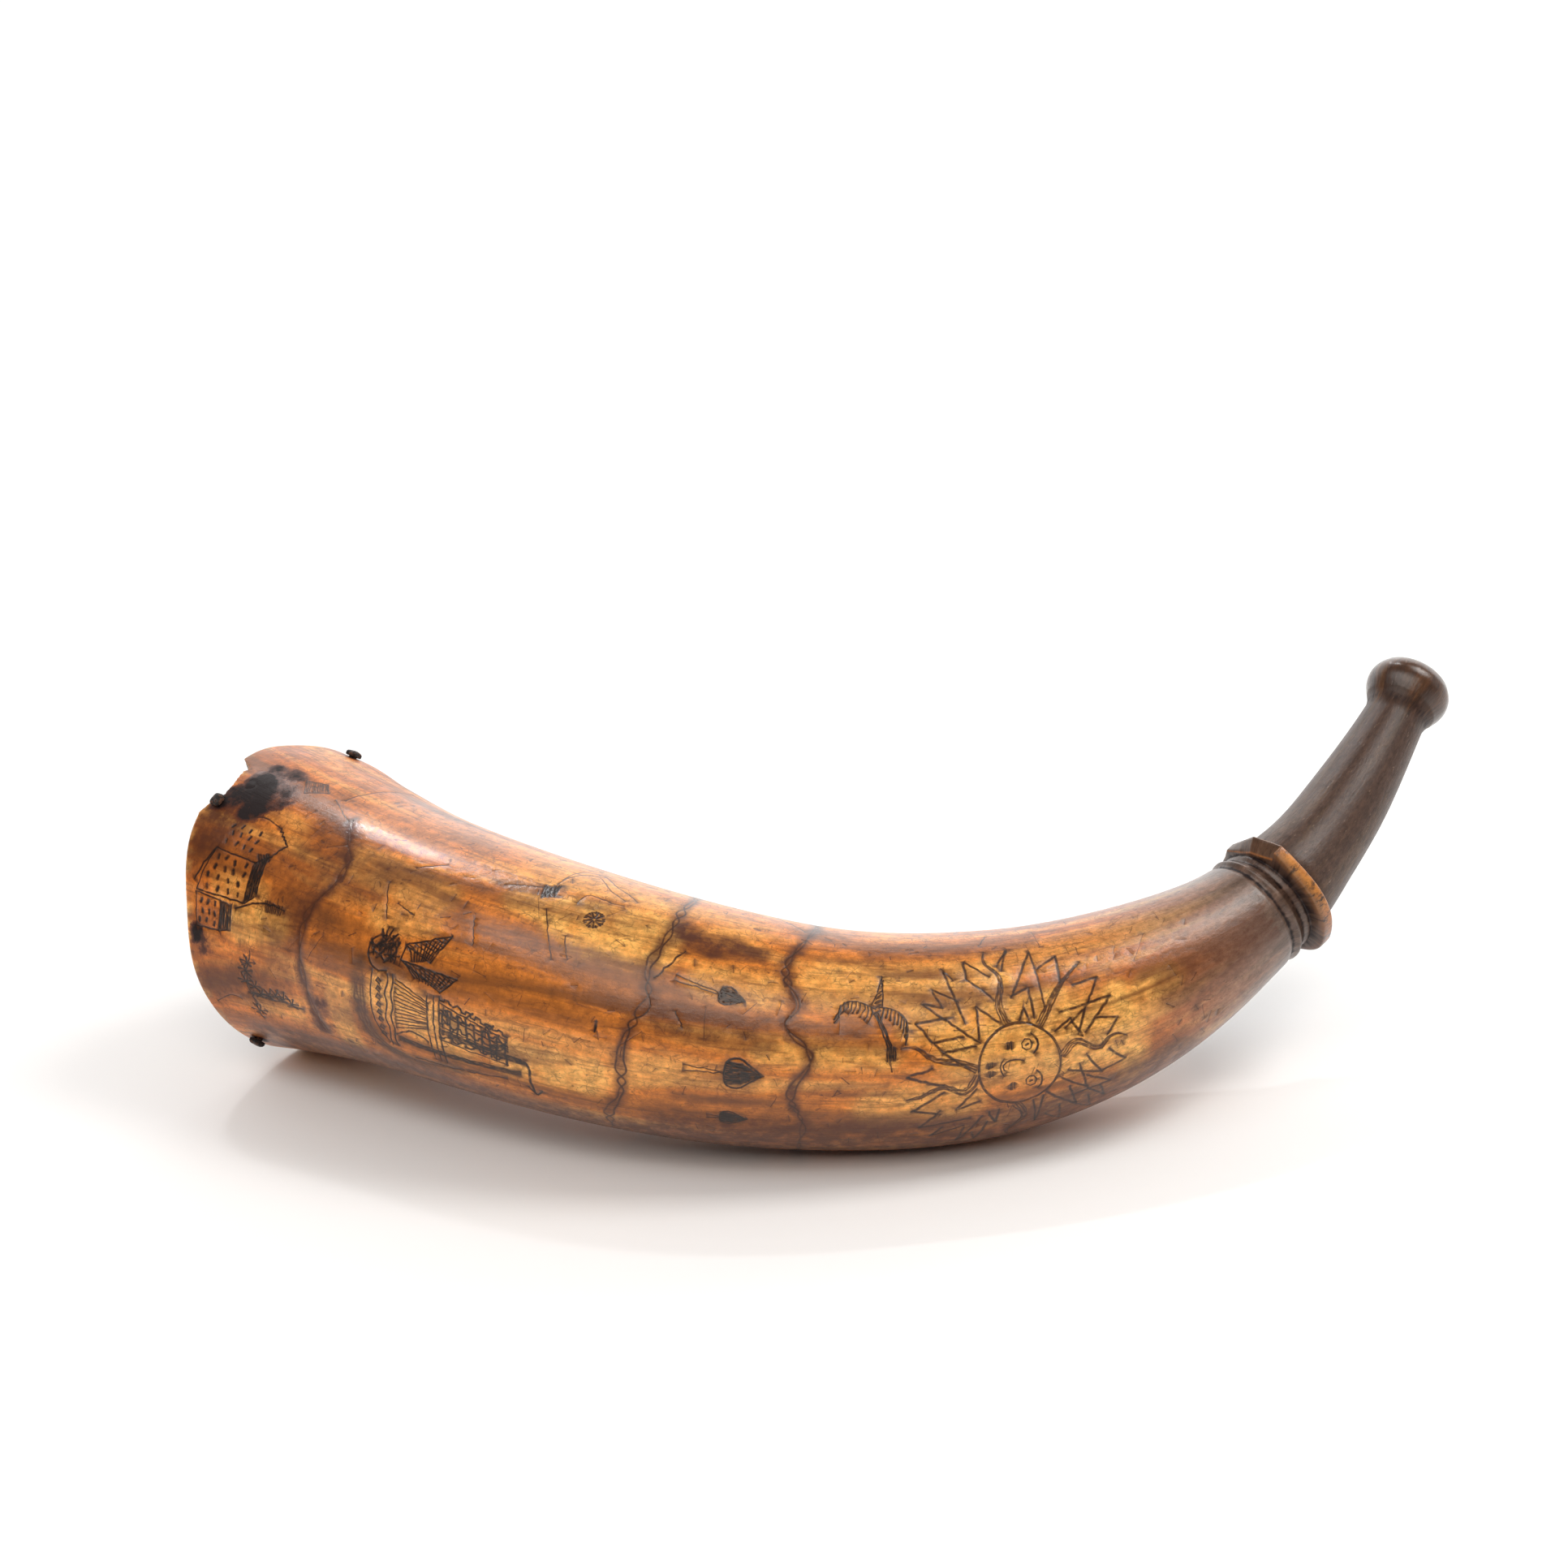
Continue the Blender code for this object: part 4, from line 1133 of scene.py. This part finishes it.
open_skin = (sheet_kind == 0) * (1 - 0.9 * in_front(share))
groove_darkening = sum(v * np.exp(-(((sheet_s - s) / w) ** 2)) for s, w, v in GROOVE_DARKENING) * open_skin
rim_flat = np.stack([rim_edge, turns], -1)


def edge_stain(kind):
    """One kind of stain at each turn of the rim."""
    return nearness(rim_flat, [row[:3] for row in stains if row[3] == kind], STAIN_STEP, soft_fall)[:, 0]


# On the rows in front of the body the black value is this darkening in the grooves, which takes the scorch's
# near-black colour.
sheet_black = np.where(sheet_kind == 2, 0, groove_darkening)
sheet_brown = np.zeros(len(sheet_points))
rim_count = len(rim) * len(turns)
sheet_black[-rim_count:] = np.tile(edge_stain("black"), len(rim))
sheet_brown[-rim_count:] = 0.5 * np.tile(edge_stain("brown"), len(rim))
all_points = np.concatenate([skin_points, sheet_points])
all_points[:, 2] = np.maximum(all_points[:, 2], 0)
all_turn = np.radians(np.concatenate([skin_turn, np.tile(turns, len(sheet))]))
all_s = np.concatenate([skin_s, sheet_s])
way = np.stack([all_s, 30 * np.cos(all_turn), 30 * np.sin(all_turn)], -1) * MM
none = np.zeros(len(sheet_points))
filed = (ring_turns + 50) % 360 - 50
edge_wear = np.interp(filed, (-50, 22, 26, 60, 150, 175, 300), (0.0, 0.05, 1.0, 1.0, 0.9, 0.5, 0.3))
corner_wear = 0.8 * (np.abs(bevel - 0.16) < 0.01) * (filed < 26)
far_edge = np.interp(front_s, (277.8, 278.7, 279.5), (0.3, 0.55, 1.0))
on_collar = in_front((share > 0.9) * np.maximum(edge_wear * far_edge, corner_wear))
collar_gold = in_front((share > 0.9) * np.interp(filed, (24, 34, 70, 120), (0.5, 1.0, 0.8, 0.0)), 0.9)
horn_values = {
    "ink": np.concatenate([groove_values[:, 1], none]),
    "gold": np.concatenate([gold, collar_gold]),
    "soot": np.concatenate([soot, none]),
    "shine": np.concatenate([shine, (sheet_s > 346) * 0.9]),
    "worn": np.concatenate([0 * gold, on_collar]),
    "brown": np.concatenate([brown, sheet_brown]),
    "black": np.concatenate([black, sheet_black]),
    "inside": np.concatenate([np.zeros(len(skin_points)), sheet_kind == 1]),
    "sawn": np.concatenate([np.zeros(len(skin_points)), sheet_kind == 2]),
}
horn_faces = [skin_faces, grid_faces(len(sheet), len(turns), len(skin_points))]
horn = piece("horn_body", all_points, horn_faces, horn_values, {"way": way})

# %% [markdown]
# ## The wooden plug
# The wide end is closed by a turned disc of wood, a low dome with one groove, held by the nails. Its edge
# has to follow the hollow, which is not round, so each ring of the dome is a share of the way from the
# middle to the hollow's own outline at that depth.

# %% Plug
PLUG_DEPTH = 2.6
PLUG_THICK = 32.0
PLUG_GAP = 0.3
DOME = 1.8
DOME_REACH = 33.0
RING_PLACE = 22
plug_turns = np.arange(0, 360, 4.0)


def snug(s, turn):
    """Radius of the hollow less a hair's gap."""
    return inner(s, turn) - PLUG_GAP


def plug_ring(depth):
    """The plug's outline at a depth inside the saw's plane."""
    s = rim_distance(plug_turns, np.full(len(plug_turns), depth), snug)
    return surface(s, plug_turns, snug(s, plug_turns))


def disc(depth, shares, height):
    """Rings between the middle and the edge at one depth, raised along the rim's direction."""
    edge = plug_ring(depth)
    middle = centre(0.0) - RIM_OUT * depth
    shares = np.asarray(shares, float)[:, None, None]
    return middle + (edge - middle) * shares + RIM_OUT * height(shares)


def dome(share):
    """A parabola's height less one narrow bell-shaped groove."""
    return DOME * (1 - share**2) - 0.9 * np.exp(-(((share * DOME_REACH - RING_PLACE) / 0.8) ** 2))


top_shares = (0.001, 0.1, 0.22, 0.34, 0.46, 0.56, 0.62, 0.645, 0.667, 0.69, 0.715, 0.76, 0.84, 0.92, 0.97)
sides = np.stack([plug_ring(d) for d in np.linspace(PLUG_DEPTH + 0.5, PLUG_DEPTH + PLUG_THICK - 0.5, 12)])
back = disc(PLUG_DEPTH + PLUG_THICK, (0.99, 0.8, 0.5, 0.2, 0.001), lambda share: 0 * share)
plug_rows = np.concatenate([disc(PLUG_DEPTH, top_shares, dome), sides, back])
sideways = unit(np.cross(RIM_OUT, (0, 0, 1.0)))
wood_axes = np.stack([sideways, RIM_OUT, np.cross(sideways, RIM_OUT)])
plug_points = plug_rows.reshape(-1, 3)
plug_way = (plug_points - centre(0.0)) @ wood_axes.T * MM
plug_faces = capped_faces(len(plug_rows), len(plug_turns))
plug = piece("plug_body", plug_points, plug_faces, (), {"way": plug_way})

# %% [markdown]
# ## Forged nails
# Each nail was drawn out by hand, so its head is a rough square with hammer facets. A square with soft
# corners is a circle's formula with a higher power in place of 2. Slow sine waves stand for the hammer's
# blows.

# %% Nails
SQUARENESS = 7
NAIL_PROFILE = (
    (1.8, 0.02), (1.78, 0.5), (1.68, 1.0), (1.45, 1.42), (1.1, 1.6), (0.7, 1.62), (0.4, 1.56), (0.3, 1.3),
    (0.28, 0.8), (-2, 0.8), (-6.5, 0.78), (-9.5, 0.45), (-10.9, 0.08),
)


def nail(number, turn, inset):
    """Square sections of the profile, set on the skin, with a head unlike its neighbours'."""
    s = rim_distance(turn, inset)
    point = on_skin(s, turn)
    along, up, side = axes(s)
    out = np.cos(np.radians(turn)) * up + np.sin(np.radians(turn)) * side
    length = unit(-along + out * (along @ out))
    breadth = np.cross(out, length)
    angle = np.radians(np.arange(0, 360, 11.25))
    square = (np.abs(np.cos(angle)) ** SQUARENESS + np.abs(np.sin(angle)) ** SQUARENESS) ** (-1 / SQUARENESS)
    height, half = np.array(NAIL_PROFILE).T[:, :, None]
    blow = 1 + 0.05 * np.sin(2 * angle + number * 2.1) * (half > 1)
    x = half * square * np.cos(angle) * blow
    y = half * square * np.sin(angle) / blow
    lift = height + 0.1 * np.sin(x * 1.9 + number) * np.cos(y * 1.6 + 2 * number) * (height > 1)
    places = point + x[..., None] * length + y[..., None] * breadth + lift[..., None] * out
    made = piece(f"nail_{number}", places.reshape(-1, 3), capped_faces(len(places), len(angle)))
    made.data.set_sharp_from_angle(angle=np.radians(38))
    return made


nails = [nail(number, *place) for number, place in enumerate(NAILS, 1)]

# %% [markdown]
# ## Nodes without the clutter
# A material is a graph of small sums. Written out in full, each node takes four or five lines. These
# helpers make one node from one line, with its settings and inputs by name, so that the recipe stays
# readable.

# %% Node helpers
def connect(tree, node, inputs):
    """Fill a node's inputs by name, each from a plain value or from another node's socket."""
    for name, value in dict(inputs).items():
        if isinstance(value, bpy.types.NodeSocket):
            tree.links.new(value, node.inputs[name])
        else:
            node.inputs[name].default_value = value


def add(tree, kind, inputs=(), **settings):
    """One shader node, with its settings by name."""
    made = tree.nodes.new(kind)
    for name, value in settings.items():
        setattr(made, name, value)
    connect(tree, made, inputs)
    return made


def noise(tree, way, scale, detail=2.0, output=0, **more):
    """Soft noise: output 0 is its value and output 1 its colour."""
    inputs = {"Vector": way, "Scale": scale, "Detail": detail, **more}
    return add(tree, "ShaderNodeTexNoise", inputs).outputs[output]


def times(tree, first, second, operation="MULTIPLY"):
    """Two values multiplied, or joined by another sum."""
    return add(tree, "ShaderNodeMath", {0: first, 1: second}, operation=operation).outputs[0]


def reading(tree, value, low, high, to_low=0.0, to_high=1.0):
    """A value stretched from one range to another, held at both ends."""
    inputs = {"Value": value, "From Min": low, "From Max": high, "To Min": to_low, "To Max": to_high}
    return add(tree, "ShaderNodeMapRange", inputs).outputs[0]


def new_group(name, inputs, outputs):
    """An empty group with its named inputs and outputs, and the sockets to join inside it."""
    tree = bpy.data.node_groups.new(name, "ShaderNodeTree")
    for label, kind, value in inputs:
        socket = tree.interface.new_socket(label, in_out="INPUT", socket_type=kind)
        if value is not None:
            socket.default_value = value
    for label in outputs:
        tree.interface.new_socket(label, in_out="OUTPUT", socket_type=FLOAT)
    return tree, tree.nodes.new("NodeGroupInput").outputs, tree.nodes.new("NodeGroupOutput").inputs


FLOAT, VECTOR = "NodeSocketFloat", "NodeSocketVector"

# %% [markdown]
# ## Shared shader groups
# Horn and wood both grew in long fibres, and horn, wood and iron all carry small pores or pits. These two
# effects are wrapped as node groups: one set of nodes, used by each material with its own sizes.

# %% Node groups
fibres, given, result = new_group(
    "long_fibres",
    [("Vector", VECTOR, None), ("Per Metre", FLOAT, 200.0), ("Stretch", FLOAT, 12.0), ("Wander", FLOAT, 0.4)],
    ["Value"],
)
by_length = {0: given["Vector"], "Scale": given["Per Metre"]}
scaled = add(fibres, "ShaderNodeVectorMath", by_length, operation="SCALE").outputs[0]
squeeze = times(fibres, 1.0, given["Stretch"], "DIVIDE")
factors = add(fibres, "ShaderNodeCombineXYZ", {"X": squeeze, "Y": 1.0, "Z": 1.0}).outputs[0]
long_way = add(fibres, "ShaderNodeVectorMath", {0: scaled, 1: factors}, operation="MULTIPLY").outputs[0]
fibres.links.new(noise(fibres, long_way, 1.0, 5.0, Distortion=given["Wander"]), result["Value"])

PIT_EDGE = 0.12
pits, given, result = new_group(
    "small_pits",
    [("Vector", VECTOR, None), ("Per Metre", FLOAT, 900.0), ("Amount", FLOAT, 0.3)],
    ["Mask"],
)
pit_noise = noise(pits, given["Vector"], given["Per Metre"], 3.0)
limit = times(pits, 0.8, given["Amount"], "SUBTRACT")
pit_inputs = {"Value": pit_noise, "From Min": limit, "From Max": times(pits, limit, PIT_EDGE, "ADD")}
pits.links.new(add(pits, "ShaderNodeMapRange", pit_inputs).outputs[0], result["Mask"])
print("groups:", [g.name for g in bpy.data.node_groups])

# %% [markdown]
# ## Colour on colour
# An old surface is a stack of thin coats: the grown colour, pores, dirt, soot, wear. In nodes each coat is
# a colour and a share from 0 to 1 that says where it lies. One helper lays a whole list of them, bottom
# first.

# %% Helpers for materials
def new_material(name):
    """A material with its node tree and its Principled shader."""
    made = bpy.data.materials.new(name)
    made.use_nodes = True
    return made, made.node_tree, made.node_tree.nodes["Principled BSDF"]


def attribute(tree, name, output="Fac"):
    """Numbers kept on the mesh's points, read by name."""
    return add(tree, "ShaderNodeAttribute", attribute_name=name).outputs[output]


def blend(tree, share, first, second):
    """A colour that goes from the first to the second by a share."""
    first, second = (c if isinstance(c, bpy.types.NodeSocket) else (*c, 1) for c in (first, second))
    return add(tree, "ShaderNodeMix", {0: share, 6: first, 7: second}, data_type="RGBA").outputs[2]


def coats(tree, colour, rows):
    """Coats over a colour, each a row of its share and its own colour."""
    for share, over in rows:
        colour = blend(tree, share, colour, over)
    return colour


def use_group(tree, group, **inputs):
    """One of the groups above with this material's own values."""
    made = add(tree, "ShaderNodeGroup", node_tree=group)
    connect(tree, made, {label.replace("_", " "): value for label, value in inputs.items()})
    return made.outputs[0]


def ramp(tree, value, stops):
    """Colours at places between 0 and 1, blended in between."""
    made = add(tree, "ShaderNodeValToRGB", {"Fac": value})
    elements = made.color_ramp.elements
    while len(elements) < len(stops):
        elements.new(0.5)
    for element, (place, colour) in zip(elements, stops):
        element.position = place
        element.color = (*colour, 1)
    return made.outputs["Color"]


def bump(tree, height, strength, distance):
    """Fine relief that only tilts the light, with its depth in metres."""
    inputs = {"Height": height, "Strength": strength, "Distance": distance}
    return add(tree, "ShaderNodeBump", inputs).outputs[0]


# %% [markdown]
# ## The grown horn
# Horn is amber near the butt and turns grey-brown and nearly black towards the solid tip. The lighter, greyer
# colour just before the beads is a painted grey sheen. Long fibres run in the horn, lighter and darker, with
# a fine crackle across them where it has dried. Pores show as dark dots, and on the dark neck as pale flecks,
# which are partly painted small highlights.

# %% Colours of the grown horn
horn_finish, tree, shader = new_material("polished_horn")
HORN_COLOURS_AND_SHEEN = (
    (0.0, (0.53, 0.14, 0.017)), (0.06, (0.59, 0.168, 0.021)), (0.25, (0.65, 0.198, 0.024)),
    # The stops at 0.69 and 0.735 are lighter and greyer than the horn there: a painted grey sheen.
    (0.5, (0.65, 0.2, 0.024)), (0.635, (0.51, 0.15, 0.027)), (0.69, (0.3, 0.14, 0.075)),
    (0.735, (0.17, 0.105, 0.075)), (0.765, (0.08, 0.047, 0.034)), (0.93, (0.065, 0.036, 0.025)),
    (0.95, (0.04, 0.022, 0.015)), (0.975, (0.085, 0.036, 0.016)), (1.0, (0.07, 0.03, 0.014)),
)
GOLD, VEIN, CRACK = (1.0, 0.55, 0.14), (0.21, 0.065, 0.015), (0.09, 0.03, 0.011)
DARK_FIBRE, PORE, PALE_FLECK_AND_GLINT = (0.17, 0.058, 0.016), (0.07, 0.024, 0.01), (0.4, 0.27, 0.2)
HORN_LENGTH = 360

way_socket = attribute(tree, "way", "Vector")
along_horn = add(tree, "ShaderNodeSeparateXYZ", {0: way_socket}).outputs[0]
distance = times(tree, along_horn, 1000 / HORN_LENGTH)
broad = use_group(tree, fibres, Vector=way_socket, Per_Metre=95.0, Stretch=6.0, Wander=0.8)
fine = use_group(tree, fibres, Vector=way_socket, Per_Metre=760.0, Stretch=9.0, Wander=0.9)
mottle = noise(tree, way_socket, 420.0, 6.0, Roughness=0.72)
cloud = noise(tree, way_socket, 260.0, 5.0, Roughness=0.65)
shifted = times(tree, distance, reading(tree, broad, 0.3, 0.7, -0.025, 0.025), "ADD")
body_share = reading(tree, distance, 0.64, 0.74, 1.0, 0.05)
neck = reading(tree, distance, 0.782, 0.79)

gold_level = times(tree, attribute(tree, "gold"), reading(tree, cloud, 0.3, 0.7, 0.35, 1.0))
gold_noise = times(tree, reading(tree, broad, 0.5, 0.72), 0.6)
gold_share = times(tree, times(tree, gold_level, gold_noise, "MAXIMUM"), body_share)
vein_share = times(tree, reading(tree, fine, 0.5, 0.66), times(tree, body_share, 0.55))
veined = coats(tree, ramp(tree, shifted, HORN_COLOURS_AND_SHEEN), ((gold_share, GOLD), (vein_share, VEIN)))
light_and_dark = {"Value": reading(tree, mottle, 0.3, 0.7, 0.5, 1.5), "Color": veined}
mottled = add(tree, "ShaderNodeHueSaturation", light_and_dark).outputs[0]

bent = noise(tree, way_socket, 300.0, output=1)
bent_way = add(tree, "ShaderNodeMix", {0: 0.004, 4: way_socket, 5: bent}, data_type="VECTOR").outputs[1]
cells = {"Vector": bent_way, "Scale": 430.0}
crack_gap = add(tree, "ShaderNodeTexVoronoi", cells, feature="DISTANCE_TO_EDGE").outputs[0]
crack_here = times(tree, reading(tree, cloud, 0.46, 0.6), times(tree, body_share, 0.6))
crack_share = times(tree, reading(tree, crack_gap, 0.07, 0.0), crack_here)
dark_share = times(tree, times(tree, reading(tree, broad, 0.5, 0.36), 0.8), body_share)
pores = use_group(tree, pits, Vector=way_socket, Per_Metre=950.0, Amount=0.16)
# Pale flecks on the dark neck: partly the horn's own pale specks, partly painted small highlights.
flecks_and_glints = use_group(tree, pits, Vector=way_socket, Per_Metre=520.0, Amount=0.14)
fleck_and_glint_share = times(tree, flecks_and_glints, times(tree, neck, 0.4))
grown = coats(tree, mottled, (
    (crack_share, CRACK),
    (dark_share, DARK_FIBRE),
    (times(tree, pores, 0.65), PORE),
    (fleck_and_glint_share, PALE_FLECK_AND_GLINT),
))
print("nodes for the grown horn:", len(tree.nodes))

# %% [markdown]
# ## Dirt, soot, wear and darkening
# Brown has sunk into the bands and stains, soot into the engraved lines, and a scorch has a black heart
# with a brown halo. The same near-black darkens the grooves and the foot of each raised edge in front of the
# body, and brown bands darken the underside. Ink is darkest in the bed of a groove and runs out brown on its
# banks. Last come the rubbed edges, the hollow and the sawn rim.

# %% Colours of dirt and wear
BROWN_WASH, SOOT = (0.095, 0.028, 0.011), (0.05, 0.026, 0.014)
HALO, NEAR_BLACK = (0.12, 0.032, 0.012), (0.016, 0.009, 0.009)
INK_BANK, INK_BED = (0.075, 0.024, 0.009), (0.018, 0.01, 0.007)
WORN_PLAIN, WORN_GOLD = (0.33, 0.1, 0.028), (0.7, 0.29, 0.06)
HOLLOW_COLOUR, SAWN_BLACK = (0.24, 0.12, 0.055), (0.03, 0.016, 0.012)
SAWN_PALE, SAWN_DARK = (0.34, 0.17, 0.08), (0.17, 0.085, 0.045)
brown_share = times(tree, attribute(tree, "brown"), reading(tree, cloud, 0.34, 0.56, 0.65, 1.0))
soot_share = times(tree, attribute(tree, "soot"), reading(tree, fine, 0.3, 0.6, 0.9, 0.5))
black_value = attribute(tree, "black")
ragged_black = times(tree, black_value, reading(tree, cloud, 0.34, 0.6, -0.3, 0.2), "ADD")
halo_here = times(tree, reading(tree, black_value, 0.0, 0.15), body_share)
halo = times(tree, reading(tree, ragged_black, 0.02, 0.4), halo_here)
# Near-black where a scorch or a nail has stained the horn, and in front of the body where the grooves are
# darkened.
blackened = times(tree, reading(tree, ragged_black, 0.3, 0.75), reading(tree, black_value, 0.0, 0.2))
patchy = reading(tree, noise(tree, way_socket, 700.0), 0.3, 0.5, 0.6, 1.0)
ink_value = attribute(tree, "ink")
bank_share = times(tree, times(tree, reading(tree, ink_value, 0.02, 0.3), patchy), 0.85)
bed_share = times(tree, reading(tree, ink_value, 0.28, 0.75), patchy)
wear_share = times(tree, attribute(tree, "worn"), reading(tree, mottle, 0.38, 0.52))
sawn = attribute(tree, "sawn")
sawn_colour = blend(tree, reading(tree, fine, 0.4, 0.6), SAWN_PALE, SAWN_DARK)
final_colour = coats(tree, grown, (
    (brown_share, BROWN_WASH),
    (soot_share, SOOT),
    (halo, HALO),
    (blackened, NEAR_BLACK),
    (bank_share, INK_BANK),
    (bed_share, INK_BED),
    (wear_share, blend(tree, gold_level, WORN_PLAIN, WORN_GOLD)),
    (attribute(tree, "inside"), HOLLOW_COLOUR),
    (sawn, blend(tree, times(tree, black_value, 0.9), sawn_colour, SAWN_BLACK)),
))
print("nodes with dirt and wear:", len(tree.nodes))

# %% [markdown]
# ## Polish and fine relief
# Handling has left a thin polish, which is the shader's coat: it gives the white veil where we look along
# the surface. It is thinner at the butt, on the scorch, in the darkened grooves and on the neck, and full and
# smooth on the knob and on two rubbed places. The scorch, the darkened grooves and the sawn rim are rougher
# under it.

# %% Polish
shine_value = attribute(tree, "shine")
rough = reading(tree, cloud, 0.3, 0.7, 0.34, 0.5)
rough_scorch = times(tree, rough, times(tree, blackened, 0.1), "ADD")
rough_sawn = times(tree, rough_scorch, times(tree, sawn, 0.3), "ADD")
handled = reading(tree, distance, 0.075, 0.115, 0.35, 0.78)
handled = times(tree, handled, reading(tree, neck, 0.0, 1.0, 1.0, 0.35))
dull_here = times(tree, reading(tree, blackened, 0.0, 1.0, 1.0, 0.15), handled)
relief = times(tree, times(tree, fine, 0.5), times(tree, mottle, 0.6), "ADD")
connect(tree, shader, {
    "Base Color": final_colour,
    "Roughness": rough_sawn,
    "Specular IOR Level": 0.15,
    "Coat Weight": times(tree, dull_here, shine_value, "MAXIMUM"),
    "Coat Roughness": reading(tree, shine_value, 0.0, 1.0, 0.21, 0.06),
    "Normal": bump(tree, relief, 0.3, 0.0005),
    "Coat Normal": bump(tree, mottle, 0.3, 0.0004),
})
horn.data.materials.append(horn_finish)
print("horn material nodes:", len(tree.nodes))

# %% [markdown]
# ## Old wood and forged iron
# The plug is a turned disc of plain wood, brown with age, its grain running across. The nails are black
# iron with a dull scale and a little rust in the pits.

# %% Wood and iron materials
wood_finish, tree, shader = new_material("old_wood")
wood_way = attribute(tree, "way", "Vector")
grain = use_group(tree, fibres, Vector=wood_way, Per_Metre=420.0, Stretch=14.0, Wander=0.5)
wood_pores = use_group(tree, pits, Vector=wood_way, Per_Metre=1300.0, Amount=0.22)
WOOD_COLOURS = ((0.25, (0.12, 0.055, 0.024)), (0.5, (0.2, 0.1, 0.045)), (0.75, (0.3, 0.16, 0.075)))
wood_base = ramp(tree, grain, WOOD_COLOURS)
connect(tree, shader, {
    "Base Color": blend(tree, times(tree, wood_pores, 0.7), wood_base, (0.05, 0.024, 0.012)),
    "Roughness": 0.62,
    "Normal": bump(tree, grain, 0.4, 0.0006),
})
plug.data.materials.append(wood_finish)

iron_finish, tree, shader = new_material("forged_iron")
iron_way = add(tree, "ShaderNodeTexCoord").outputs["Object"]
rust = use_group(tree, pits, Vector=iron_way, Per_Metre=1100.0, Amount=0.3)
connect(tree, shader, {
    "Base Color": blend(tree, rust, (0.035, 0.03, 0.028), (0.11, 0.045, 0.022)),
    "Roughness": reading(tree, rust, 0.0, 1.0, 0.45, 0.8),
    "Metallic": reading(tree, rust, 0.0, 1.0, 0.8, 0.1),
    "Normal": bump(tree, rust, 0.5, 0.0003),
})
for item in nails:
    item.data.materials.append(iron_finish)
print("materials:", len(bpy.data.materials))

# %% [markdown]
# ## White table and soft light
# The picture is a plain studio one: a white table, a bright backdrop, and soft boxes from both sides and
# from the front. A small strip and a card give highlights only. The room itself gives hardly any light,
# but the camera sees it nearly white, so it hides the edge of the table in a low view. Four broad washes
# light the table alone. The colours go to the picture as they are, so a white table stays white.

# %% Table and light
floor_mesh = bpy.data.meshes.new("table_top")
HALF_TABLE = 2.3
corners = HALF_TABLE * np.array([(-1, -1, 0), (1, -1, 0), (1, 1, 0), (-1, 1, 0)])
floor_mesh.from_pydata(corners.tolist(), [], [(0, 1, 2, 3)])
floor = put("table_top", floor_mesh)
table_finish, tree, shader = new_material("white_table")
connect(tree, shader, {"Base Color": (0.8, 0.8, 0.8, 1), "Roughness": 0.9, "Specular IOR Level": 0.1})
floor_mesh.materials.append(table_finish)

world = bpy.data.worlds.new("white_room")
world.use_nodes = True
ROOM_LIGHT, ROOM_SEEN = 0.1, 0.95
seen = add(world.node_tree, "ShaderNodeLightPath").outputs["Is Camera Ray"]
room_strength = reading(world.node_tree, seen, 0.0, 1.0, ROOM_LIGHT, ROOM_SEEN)
room = world.node_tree.nodes["Background"]
connect(world.node_tree, room, {"Color": (1.0, 1.0, 1.0, 1), "Strength": room_strength})
bpy.context.scene.world = world
bpy.context.scene.view_settings.view_transform = "Standard"


def soft_light(name, place, target, size, power, colour=(1, 1, 1), diffuse=1.0, gloss=1.0):
    """A rectangle of light, turned to a target and hidden from the camera."""
    data = bpy.data.lights.new(name, "AREA")
    data.shape = "RECTANGLE"
    data.size, data.size_y = size
    data.energy = power
    data.color = colour
    data.diffuse_factor = diffuse
    data.specular_factor = gloss
    made = put(name, data)
    direction = Vector(target) - Vector(place)
    made.matrix_world = Matrix.Translation(place) @ direction.to_track_quat("-Z", "Y").to_matrix().to_4x4()
    made.visible_camera = False
    return made


soft_light("backdrop", (0, 2.6, 1.3), (0, 0, 1.3), (8.0, 2.6), 112)
soft_light("right_box", (0.78, 0.1, 1.12), (0, 0, 0), (0.5, 0.5), 8.0, (1.0, 0.985, 0.96))
soft_light("left_box", (-0.62, -0.32, 1.05), (-0.03, 0, 0), (0.4, 0.5), 2.2)
soft_light("front_fill", (-0.3, -1.7, 2.0), (0, 0, 0), (2.0, 1.5), 32, (1.0, 0.89, 0.81), gloss=0.0)
soft_light("window_strip", (-0.69, 1.95, 2.47), (-0.05, 0, 0.04), (0.26, 0.07), 14.0, diffuse=0.0)
soft_light("right_card", (2.4, 0.3, 0.75), (0.1, 0, 0.05), (1.6, 1.2), 4.0, diffuse=0.0)
table_only = bpy.data.collections.new("table_only")
table_only.objects.link(floor)
WASHES = ((-1.0, -0.3, 11.2), (1.6, -0.3, 12.6), (-1.0, 2.2, 12.6), (1.6, 2.2, 13.0))
for x, y, power in WASHES:
    wash = soft_light(f"table_wash_{x}_{y}", (x, y, 2.6), (x, y, 0), (2.4, 2.4), power)
    wash.light_linking.receiver_collection = table_only
print("lights:", len(bpy.data.lights))

# %% [markdown]
# ## Each piece in place of its solid
# Each new piece stands for one solid of the imported model and rides with its body, and that solid is hidden.

# %% Finish
pieces = [(horn, "horn", "horn"), (plug, "base_plug", "wood")]
pieces += [(item, f"iron_nail_{number}", "iron") for number, item in enumerate(nails, 1)]
for item, node, finish in pieces:
    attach(item, "root")
    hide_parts(node)
